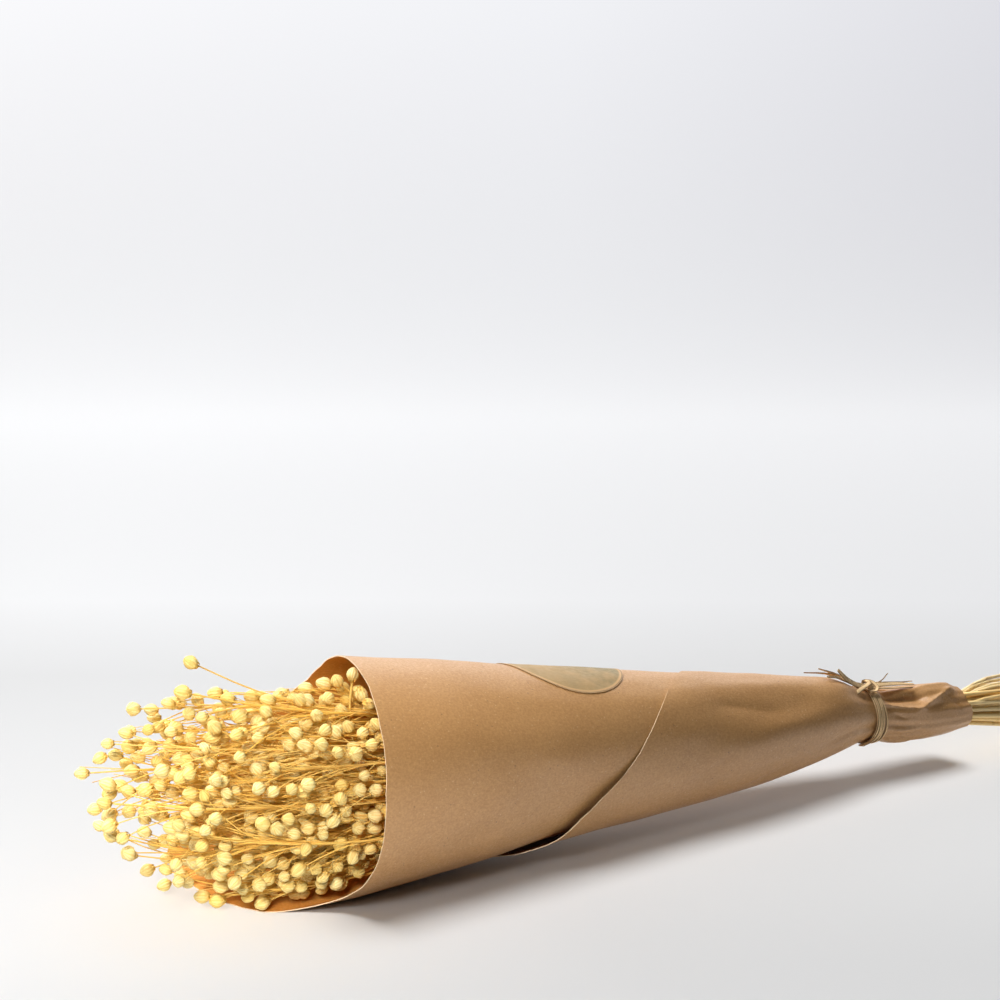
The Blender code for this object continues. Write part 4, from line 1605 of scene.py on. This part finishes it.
@dataclass
class SeedHead:
    """A dried flax capsule: ribbed, pointed at its tip, with five dry sepals at its foot."""

    radius: float = 0.0037
    segments: int = 10
    rings: int = 7
    sepals: int = 5

    def model(self, form: HeadForm, finish: Material) -> Piece:
        """Model one head at the origin, its tip towards +Z.

        Args:
            form: Which form of head.
            finish: The head's material.

        Returns:
            The head, to be copied.
        """
        wide, long_, rib = form.value
        head = add_mesh(bpy.ops.mesh.primitive_uv_sphere_add, f"head_{form.name.lower()}",
                        segments=self.segments, ring_count=self.rings, radius=self.radius)
        mesh = head.data
        mesh.uv_layers[0].name = "head"
        for corner in mesh.vertices:
            level = corner.co.z / self.radius
            turn = math.atan2(corner.co.y, corner.co.x)
            ridge = round(turn / (math.tau / self.segments)) % 2
            flat = math.hypot(corner.co.x, corner.co.y)
            pull = 1 - rib * (1 - ridge) * (1 - level**4)
            if flat > 1e-6:
                corner.co.x *= pull * wide * (1 - 0.10 * smooth_step(level))
                corner.co.y *= pull * wide * (1 - 0.10 * smooth_step(level))
            corner.co.z = self.radius * long_ * (level + 0.12 * smooth_step((level - 0.8) / 0.2))
        self.add_sepals(head, wide * self.radius)
        mesh.materials.append(finish)
        mesh.shade_smooth()
        tint = mesh.attributes.new("tint", "FLOAT_COLOR", "POINT")
        for corner, value in zip(mesh.vertices, tint.data):
            reach = min(max(corner.co.z / self.radius / long_ / 2.2 + 0.455, 0.0), 1.0)
            turn = math.atan2(corner.co.y, corner.co.x)
            ridge = round(turn / (math.tau / self.segments)) % 2
            value.color = (0.5, reach, float(ridge), 1.0)
        return head

    def add_sepals(self, head: Piece, radius: float) -> None:
        """Set five thin pointed sepals round the head's foot.

        Args:
            head: The head to set them on.
            radius: The head's radius at its widest.
        """
        blades = []
        for k in range(self.sepals):
            blade = add_mesh(bpy.ops.mesh.primitive_cone_add, "sepal", vertices=4,
                             radius1=radius * 0.30, radius2=0, depth=radius * 1.1)
            turn = math.tau * (k + 0.5) / self.sepals
            lean = Matrix.Rotation(turn, 4, "Z") @ Matrix.Translation((radius * 0.66, 0, -radius * 0.62))
            lean @= Matrix.Rotation(math.radians(33), 4, "Y") @ Matrix.Diagonal((0.28, 1.0, 1.0, 1.0))
            blade.data.transform(lean)
            blade.data.uv_layers.remove(blade.data.uv_layers[0])
            blades.append(blade)
        join_into(head, blades)


@dataclass
class FlaxBunch:
    """All the stalks: those of the solids, and the finer growth between them."""

    grower: FlaxGrower
    head: SeedHead
    middle: Span
    extra_heads: int = 2
    thin_stems: int = 104
    thin_heads: int = 2
    bare_branches: int = 5
    sheaves: int = 2
    extra: Branching = Branching((0.02, 0.92), (0.014, 0.052), (0.25, 0.60))
    extra_tries: int = 60
    extra_radius: float = 0.00028
    extra_margin: float = 0.003
    bare: Branching = Branching((0.0, 0.7), (0.035, 0.085), (0.05, 0.30))
    bare_margin: float = 0.005
    bare_bend: float = 0.5
    bare_low: float = 0.0020
    bare_radii: tuple[float, ...] = (0.00032, 0.00028, 0.00026, 0.00024, 0.00018)
    pressed_in: float = -0.0006
    loose_front: float = -0.098
    fan_station: float = 0.425
    short_cut: float = 0.385
    long_every: int = 7
    long_spread: float = 0.028
    long_rise: Span = (0.013, 0.0085)
    thin_tries: int = 200
    thin_reach: float = 0.84
    thin_radius: float = 0.0008
    thin_pressed: float = -0.0002
    thin_scale: float = 0.72
    thin_low: float = 0.0012
    thin_tips: Span = (-0.090, 0.020)
    thin_forks: Span = (0.01, 0.04)
    thin_tip_reach: float = 1.03
    thin_fork_reach: float = 0.95
    wanted_most: float = 0.9
    wanted_drawn: float = 0.9
    head_chances: tuple[int, ...] = (5, 3, 3)
    head_sway: float = 0.3
    head_sizes: Span = (0.86, 1.05)
    head_tones: Span = (0.42, 0.26)
    seed: int = 21
    placed_tips: tuple[Place, ...] = (
        (-0.0424, -0.0080, 0.0052), (-0.0620, 0.0037, 0.0052), (-0.0462, 0.0114, 0.0060),
        (-0.0253, -0.0086, 0.0062), (-0.0097, -0.0035, 0.0080), (0.0038, -0.0045, 0.0120),
        (-0.0179, 0.0019, 0.0120), (-0.0340, -0.0120, 0.0150), (-0.0770, 0.0341, 0.0060),
        (0.0051, 0.0040, 0.1064), (0.0009, 0.0100, 0.1040), (-0.0061, 0.0160, 0.1009),
        (0.0104, -0.0120, 0.1028), (0.0103, -0.0200, 0.1002), (0.0079, 0.0000, 0.0973),
        (-0.0219, -0.0100, 0.1046), (-0.0860, 0.0000, 0.1105), (-0.0570, -0.0040, 0.1090),
        (0.0034, -0.0360, 0.0851), (0.0011, -0.0440, 0.0652), (0.0015, -0.0420, 0.0514),
        (-0.0038, -0.0300, 0.0831), (0.0065, -0.0200, 0.0187), (0.0008, -0.0180, 0.0160),
        (-0.0047, -0.0156, 0.0090), (-0.0131, -0.0125, 0.0070), (-0.0223, -0.0103, 0.0060),
        (-0.0283, -0.0048, 0.0100), (-0.0096, -0.0148, 0.0180), (-0.0165, -0.0065, 0.0140),
        (-0.0452, -0.0120, 0.0060), (-0.0481, -0.0023, 0.0100), (-0.0364, -0.0047, 0.0090),
        (-0.0675, 0.0534, 0.0120), (-0.0586, 0.0464, 0.0110), (-0.0524, 0.0417, 0.0140),
        (-0.0638, 0.0436, 0.0055), (-0.0501, 0.0266, 0.0090), (-0.0551, 0.0359, 0.0090),
    )

    def place(self, point: Vector) -> Vector:
        """From the cone's frame to the bunch's."""
        return Vector((point.x - self.middle[0], point.y - self.middle[1], point.z))

    def extra_branch(self, stalk: Stalk, room: Room, chance: random.Random) -> None:
        """Grow one more fine branch on a stalk where there is room for its head.

        Args:
            stalk: The stalk to add to.
            room: The space that all stalks have taken.
            chance: Where the branch's shape comes from.
        """
        grower = self.grower
        for _ in range(self.extra_tries):
            sprout = grower.branch_off(stalk.points, self.extra, chance)
            head = sprout.tip
            if head.x < self.loose_front or not grower.inside_cloud(head, self.extra_margin):
                continue
            rods = [(head, head, grower.head_radius)]
            if room.free(rods, None, self.pressed_in):
                room.add(rods, stalk.number)
                stalk.twigs.append(grower.branch_twig(sprout, self.extra_radius))
                return

    def bare_branch(self, stalk: Stalk, chance: random.Random) -> None:
        """Grow one fine branch that has lost its head.

        Args:
            stalk: The stalk to add to.
            chance: Where the branch's shape comes from.
        """
        grower = self.grower
        sprout = grower.branch_off(stalk.points, self.bare, chance)
        root, heading, tip = sprout.root, sprout.heading, sprout.tip
        tip.z = max(tip.z, self.bare_low)
        if tip.x > grower.cloud_front and grower.inside_cloud(tip, self.bare_margin):
            bend = root + heading * sprout.length * self.bare_bend
            line = grower.bow(root - heading * grower.rooted, bend, tip, len(self.bare_radii) - 1)
            stalk.twigs.append(Twig(line, list(self.bare_radii)))

    def thin_stalk(self, number: int, room: Room, chance: random.Random,
                   wanted: Place | None = None) -> Stalk:
        """Grow one thin stalk from the cut end to a head among the others.

        Args:
            number: The stalk's number, which tells whether it reaches past the paper's tail.
            room: The space that all stalks have taken.
            chance: Where its shape comes from.
            wanted: Where its head should be, or None to choose a place with room.

        Returns:
            The stalk.
        """
        grower = self.grower
        short = number % self.long_every > 0
        cut_rise, fan_rise = (0.0, 0.0) if short else self.long_rise
        for _ in range(self.thin_tries):
            radius = math.sqrt(chance.random()) * self.thin_reach
            turn = chance.uniform(0, math.tau)
            across, up = radius * math.cos(turn), radius * math.sin(turn)
            cut = self.short_cut if short else grower.cut_end - self.long_spread * chance.random()
            ends = (cut, *grower.stations[1:]) if short else (cut, self.fan_station, *grower.stations)
            points = [grower.guide_point(x, across, up) for x in ends]
            points[0].z = max(points[0].z + cut_rise * max(up, 0.0), self.thin_low)
            points[1].z += fan_rise * max(up, 0.0)
            cut_rod = (points[0], points[1], self.thin_radius)
            clear = short or room.free([cut_rod], None, self.thin_pressed)
            if wanted:
                tip = Vector(wanted)
                radius = along_table(grower.guide, 0.0, 2)
                middle = along_table(grower.guide, 0.0, 1)
                most = self.wanted_most
                across = min(max(tip.y / radius, -most), most)
                up = min(max((tip.z - middle) / radius, -most), most)
                drawn = self.wanted_drawn
                points[-1] = grower.guide_point(grower.stations[-1], across * drawn, up * drawn)
            else:
                reach = self.thin_tip_reach
                tip = grower.guide_point(chance.uniform(*self.thin_tips), across * reach, up * reach)
                tip.z = max(tip.z, grower.paper + grower.head_radius + GAP)
            reach = self.thin_fork_reach
            fork = grower.guide_point(chance.uniform(*self.thin_forks), across * reach, up * reach)
            heading = (fork - points[-1]).normalized()
            points += grower.bow(fork, fork + heading * (tip - fork).length * 0.5, tip, grower.bow_steps)
            ball = (tip, tip, grower.head_radius)
            if clear and (wanted or room.free([ball], None, self.pressed_in)):
                break
        room.add([ball, (points[0], points[1], self.thin_radius)], number)
        return Stalk(number, points, [grower.stem_twig(points)])

    def mesh_twigs(self, name: str, twigs: Sequence[Twig], finish: Material, tone: float,
                   scale: float = 1.0) -> Piece:
        """Turn twigs into one mesh of thin tubes.

        Args:
            name: The piece's name.
            twigs: The twigs.
            finish: The straw's material.
            tone: The stalk's tone, from pale to golden.
            scale: How thick the twigs are, as a share of their radii.

        Returns:
            The mesh object.
        """
        curve = bpy.data.curves.new(name, "CURVE")
        curve.dimensions = "3D"
        curve.bevel_depth = 1.0
        curve.bevel_resolution = 1
        curve.use_fill_caps = True
        for twig in twigs:
            spline = curve.splines.new("POLY")
            spline.points.add(len(twig.line) - 1)
            for spot, place, radius in zip(spline.points, twig.line, twig.radii):
                spot.co = (*self.place(place), 1.0)
                spot.radius = radius * scale
        piece = bpy.data.objects.new(name, curve)
        bpy.context.scene.collection.objects.link(piece)
        choose_only(piece)
        bpy.ops.object.convert(target="MESH")
        piece = bpy.context.active_object
        piece.data.materials.clear()
        piece.data.materials.append(finish)
        piece.data.shade_smooth()
        tint = piece.data.attributes.new("tint", "FLOAT_COLOR", "POINT")
        tint.data.foreach_set("color", [tone, 0.5, 1.0, 1.0] * len(piece.data.vertices))
        return piece

    def set_heads(self, piece: Piece, twigs: Sequence[Twig], masters: Sequence[Piece],
                  chance: random.Random) -> None:
        """Copy a head onto the tip of each twig and join them to the stalk.

        Args:
            piece: The stalk's mesh object.
            twigs: The stalk's twigs.
            masters: The modelled heads.
            chance: Which form, size, tone and turn each head has.
        """
        copies = []
        for twig in twigs:
            if twig.head is None:
                continue
            master = chance.choices(masters, weights=self.head_chances)[0]
            copy = bpy.data.objects.new(master.name + "_copy", master.data.copy())
            bpy.context.scene.collection.objects.link(copy)
            heading = (twig.line[-1] - twig.line[-2]).normalized()
            sway = Vector([chance.uniform(-self.head_sway, self.head_sway) for _ in range(3)])
            turn = (heading + sway).normalized().to_track_quat("Z", "Y").to_matrix().to_4x4()
            turn @= Matrix.Rotation(chance.uniform(0, math.tau), 4, "Z")
            size = chance.uniform(*self.head_sizes)
            place = Matrix.Translation(self.place(twig.head))
            copy.data.transform(place @ turn @ Matrix.Scale(size, 4))
            colours = np.empty(len(copy.data.vertices) * 4, np.float32)
            tint = copy.data.attributes["tint"]
            tint.data.foreach_get("color", colours)
            colours[0::4] = min(max(chance.gauss(*self.head_tones), 0.0), 1.0)
            tint.data.foreach_set("color", colours)
            copies.append(copy)
        join_into(piece, copies)

    def build(self, straw: Material, head: Material) -> list[Piece]:
        """Build every stalk.

        Args:
            straw: The stems' material.
            head: The seed heads' material.

        Returns:
            The finished pieces.
        """
        chance = random.Random(self.seed)
        masters = [self.head.model(form, head) for form in HeadForm]
        room, stalks = self.grower.grow()
        thin = [self.thin_stalk(number, room, chance, tip)
                for number, tip in enumerate(self.placed_tips, 100)]
        for _ in range(self.extra_heads):
            for stalk in stalks:
                self.extra_branch(stalk, room, chance)
        thin += [self.thin_stalk(200 + k, room, chance) for k in range(self.thin_stems)]
        for _ in range(self.thin_heads):
            for stalk in thin:
                self.extra_branch(stalk, room, chance)
        for _ in range(self.bare_branches):
            for stalk in [*stalks, *thin]:
                self.bare_branch(stalk, chance)
        pieces = []
        for number, stalk in enumerate(stalks, 1):
            piece = self.mesh_twigs(f"flax_grown_{number:02d}", stalk.twigs, straw, chance.random())
            self.set_heads(piece, stalk.twigs, masters, chance)
            pieces.append(settle(piece, [f"flax_stalk_{number:02d}"]))
        sheaves: list[list[Piece]] = [[] for _ in range(self.sheaves)]
        for number, stalk in enumerate(thin):
            piece = self.mesh_twigs(f"thin_stalk_{number:02d}", stalk.twigs, straw, chance.random(),
                                    self.thin_scale)
            self.set_heads(piece, stalk.twigs, masters, chance)
            sheaves[number % self.sheaves].append(piece)
        for number, (piece, *others) in enumerate(sheaves, 1):
            piece.name = f"flax_thin_sheaf_{number}"
            join_into(piece, others)
            pieces.append(settle(piece))
        for master in masters:
            bpy.data.objects.remove(master, do_unlink=True)
        log.info("heads: %d", sum(twig.head is not None for stalk in [*stalks, *thin]
                                  for twig in stalk.twigs))
        return pieces


# The studio


def collect(name: str, pieces: Sequence[Piece]) -> bpy.types.Collection:
    """Put pieces in a collection of their own, for a lamp to be linked to."""
    made = bpy.data.collections.new(name)
    for piece in pieces:
        made.objects.link(piece)
    return made


@dataclass(frozen=True)
class Lamp:
    """One lamp: Blender's type of it, where it hangs, the point it is turned to and its strength.

    It lights either the stage or the bunch alone. Its settings are those of Blender's own lamp.
    """

    name: str
    kind: str
    at: Place
    to: Place
    energy: float
    for_stage: bool
    settings: dict[str, object]
    shaded_by: int = 0

    def hang(self, bunch: Sequence[Piece], stage: Sequence[Piece]) -> None:
        """Hang the lamp and link it to what it lights.

        Args:
            bunch: The bunch's pieces, of which only the first shaded_by shade it, or all if that is 0.
            stage: The table and the backdrop.
        """
        lamp = bpy.data.lights.new(self.name, self.kind)
        lamp.energy = self.energy
        for setting, value in self.settings.items():
            setattr(lamp, setting, value)
        holder = bpy.data.objects.new(self.name, lamp)
        holder.location = self.at
        way = Vector(self.to) - Vector(self.at)
        holder.rotation_euler = way.to_track_quat("-Z", "Y").to_euler()
        holder.visible_camera = False
        bpy.context.scene.collection.objects.link(holder)
        lit = stage if self.for_stage else bunch
        holder.light_linking.receiver_collection = collect(f"lit_by_{self.name}", lit)
        if self.shaded_by:
            shades = collect(f"shade_{self.name}", bunch[:self.shaded_by])
            holder.light_linking.blocker_collection = shades


@dataclass
class Studio:
    """The pale table, the bright backdrop behind it, the soft lights and the camera."""

    camera_at: Place = (-0.7069, -1.0648, 0.462)
    camera_pitch: float = -12.62
    lens: float = 90.0
    table_size: float = 14.0
    backdrop_from: float = 1.15
    backdrop_flat: float = 0.20
    backdrop_dip: float = 0.004
    backdrop_lift: float = 0.0005
    backdrop_bend: float = 0.65
    backdrop_height: float = 1.2
    backdrop_width: float = 5.0
    sky_colour: Colour = (1.0, 0.995, 0.985)
    sky_strength: Span = (0.02, 0.12)
    sky_towards: Place = (-0.20, 0.30, 0.93)
    lamps: tuple[Lamp, ...] = (
        Lamp("overhead", "SUN", (-0.60, 0.68, 1.78), (0.0, 0.0, 0.0), 3.9, False,
             {"color": (1.0, 0.985, 0.96), "angle": math.radians(26)}),
        Lamp("overhead_stage", "SUN", (0.16, 0.10, 1.96), (0.0, 0.0, 0.0), 2.42, True,
             {"color": (0.99, 0.995, 1.0), "angle": math.radians(36)}, shaded_by=3),
        Lamp("window", "AREA", (0.45, 1.38, 1.02), (-0.10, 0.0, 0.04), 12.5, False,
             {"color": (1.0, 0.99, 0.97), "shape": "RECTANGLE", "size": 2.6, "size_y": 1.4}),
        Lamp("left_stage", "SPOT", (-1.25, -0.75, 0.95), (-0.40, 0.10, 0.0), 62.0, True,
             {"color": (0.985, 0.99, 1.0), "spot_size": math.radians(28), "spot_blend": 1.0,
              "shadow_soft_size": 0.25}),
        Lamp("fill_stage", "SPOT", (0.30, -0.20, 1.00), (0.12, -0.04, 0.0), 3.4, True,
             {"color": (1.0, 0.985, 0.96), "spot_size": math.radians(26), "spot_blend": 1.0,
              "use_shadow": False}),
        Lamp("side", "SPOT", (-0.95, -1.00, 0.80), (-0.32, -0.03, 0.05), 125.0, False,
             {"color": (1.0, 0.985, 0.96), "spot_size": math.radians(20), "spot_blend": 1.0,
              "shadow_soft_size": 0.16}),
    )

    def lay_table(self, finish: Material) -> Piece:
        """Lay the table top under the bunch and give it."""
        table = add_mesh(bpy.ops.mesh.primitive_plane_add, "pale_table", size=self.table_size,
                         location=(0, 0, 0))
        table.data.materials.append(finish)
        return table

    def raise_backdrop(self, finish: Material) -> Piece:
        """Raise a sheet behind the bunch that leaves the table in a wide bend, and give it.

        Args:
            finish: The sheet's material.

        Returns:
            The sheet.
        """
        sheet = add_mesh(bpy.ops.mesh.primitive_grid_add, "pale_backdrop", x_subdivisions=2,
                         y_subdivisions=32, size=1.0)
        turn = Matrix.Rotation(math.radians(-CAMERA_YAW), 4, "Z")
        arc = self.backdrop_bend * math.pi / 2
        length = self.backdrop_flat + arc + self.backdrop_height - self.backdrop_bend
        for corner in sheet.data.vertices:
            way = (corner.co.y + 0.5) * length - self.backdrop_flat
            bend = min(max(way, 0.0), arc) / self.backdrop_bend
            away = self.backdrop_from + min(way, 0.0) + self.backdrop_bend * math.sin(bend)
            rise = self.backdrop_bend * (1 - math.cos(bend)) + max(way - arc, 0.0) + self.backdrop_lift
            rise -= self.backdrop_dip * max(0.0, -way / self.backdrop_flat) ** 4
            corner.co = turn @ Vector((corner.co.x * self.backdrop_width, away, rise))
        sheet.data.materials.append(finish)
        sheet.data.shade_smooth()
        sheet.visible_shadow = False
        return sheet

    def hang_sky(self) -> None:
        """Light the room softly, from above and behind more than from the front."""
        world = bpy.data.worlds.new("studio")
        bpy.context.scene.world = world
        world.use_nodes = True
        graph = Graph(world.node_tree)
        way = graph.add("TexCoord").outputs["Generated"]
        facing = graph.dot(way, Vector(self.sky_towards).normalized())
        back = world.node_tree.nodes["Background"]
        graph.feed(back.inputs["Color"], self.sky_colour)
        graph.feed(back.inputs["Strength"], graph.span(facing, 0.0, 1.0, *self.sky_strength))

    def aim_camera(self) -> None:
        """Set the camera at the photograph's viewing angle."""
        lens = bpy.data.cameras.new("camera")
        lens.lens = self.lens
        lens.sensor_width = 36.0
        lens.clip_start = 0.01
        camera = bpy.data.objects.new("camera", lens)
        camera.location = self.camera_at
        camera.rotation_euler = (math.radians(90 + self.camera_pitch), 0, math.radians(-CAMERA_YAW))
        bpy.context.scene.collection.objects.link(camera)
        bpy.context.scene.camera = camera

    def build(self, finish: Material, bunch: Sequence[Piece]) -> None:
        """Build the table and the backdrop, hang the lights and aim the camera.

        Args:
            finish: Finish of table and backdrop.
            bunch: The bunch's pieces.
        """
        stage = [self.lay_table(finish), self.raise_backdrop(finish)]
        self.hang_sky()
        for lamp in self.lamps:
            lamp.hang(bunch, stage)
        self.aim_camera()


def build_paper(cone: RolledCone, effects: SharedEffects) -> Piece:
    """Build the kraft paper with its four finishes.

    Args:
        cone: The rolled paper's shape.
        effects: The shared node groups.

    Returns:
        The finished piece.
    """
    finishes = (
        KraftFinish(),
        KraftFinish("kraft_inside", (0.78, 0.35, 0.075), (0.62, 0.26, 0.050), (0.25, 0.09, 0.03), 0.7, 0.15),
        # The cut edges are painted far paler than the paper: a painted highlight of the edge catching light.
        KraftFinish("kraft_cut_edge_painted_highlight", (0.95, 0.76, 0.52), (0.82, 0.62, 0.40), (0.45, 0.30, 0.17), 0.75, 0.3),
        # The outer turn's inner face is painted dark red-brown: painted shade of the gap under the turn, not
        # the paper's own colour.
        KraftFinish("kraft_fold_inside_painted_shade", (0.22, 0.060, 0.018), (0.16, 0.042, 0.012), (0.10, 0.03, 0.01),
                    0.8, 0.1),
    )
    return KraftWrap(cone).build(*(finish.make(effects) for finish in finishes))


def main() -> None:
    """Build the whole scene in order."""
    logging.basicConfig(level=logging.INFO, format="%(name)s %(message)s")
    for old in list(bpy.data.objects):
        bpy.data.objects.remove(old, do_unlink=True)
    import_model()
    bpy.ops.object.select_all(action="DESELECT")
    effects = SharedEffects.build()
    cone = RolledCone()
    pieces = [
        build_paper(cone, effects),
        RoundLabel(cone).build(LabelFinish().make(effects)),
        RaffiaTie(cone).build(RaffiaFinish().make(effects)),
    ]
    flax = FlaxBunch(FlaxGrower(), SeedHead(), cone.middle)
    pieces += flax.build(StrawFinish().make(effects), HeadFinish().make(effects))
    Studio().build(BackdropFinish().make(effects), pieces)
    bpy.context.scene.view_settings.view_transform = "Standard"


if __name__ == "__main__":
    main()
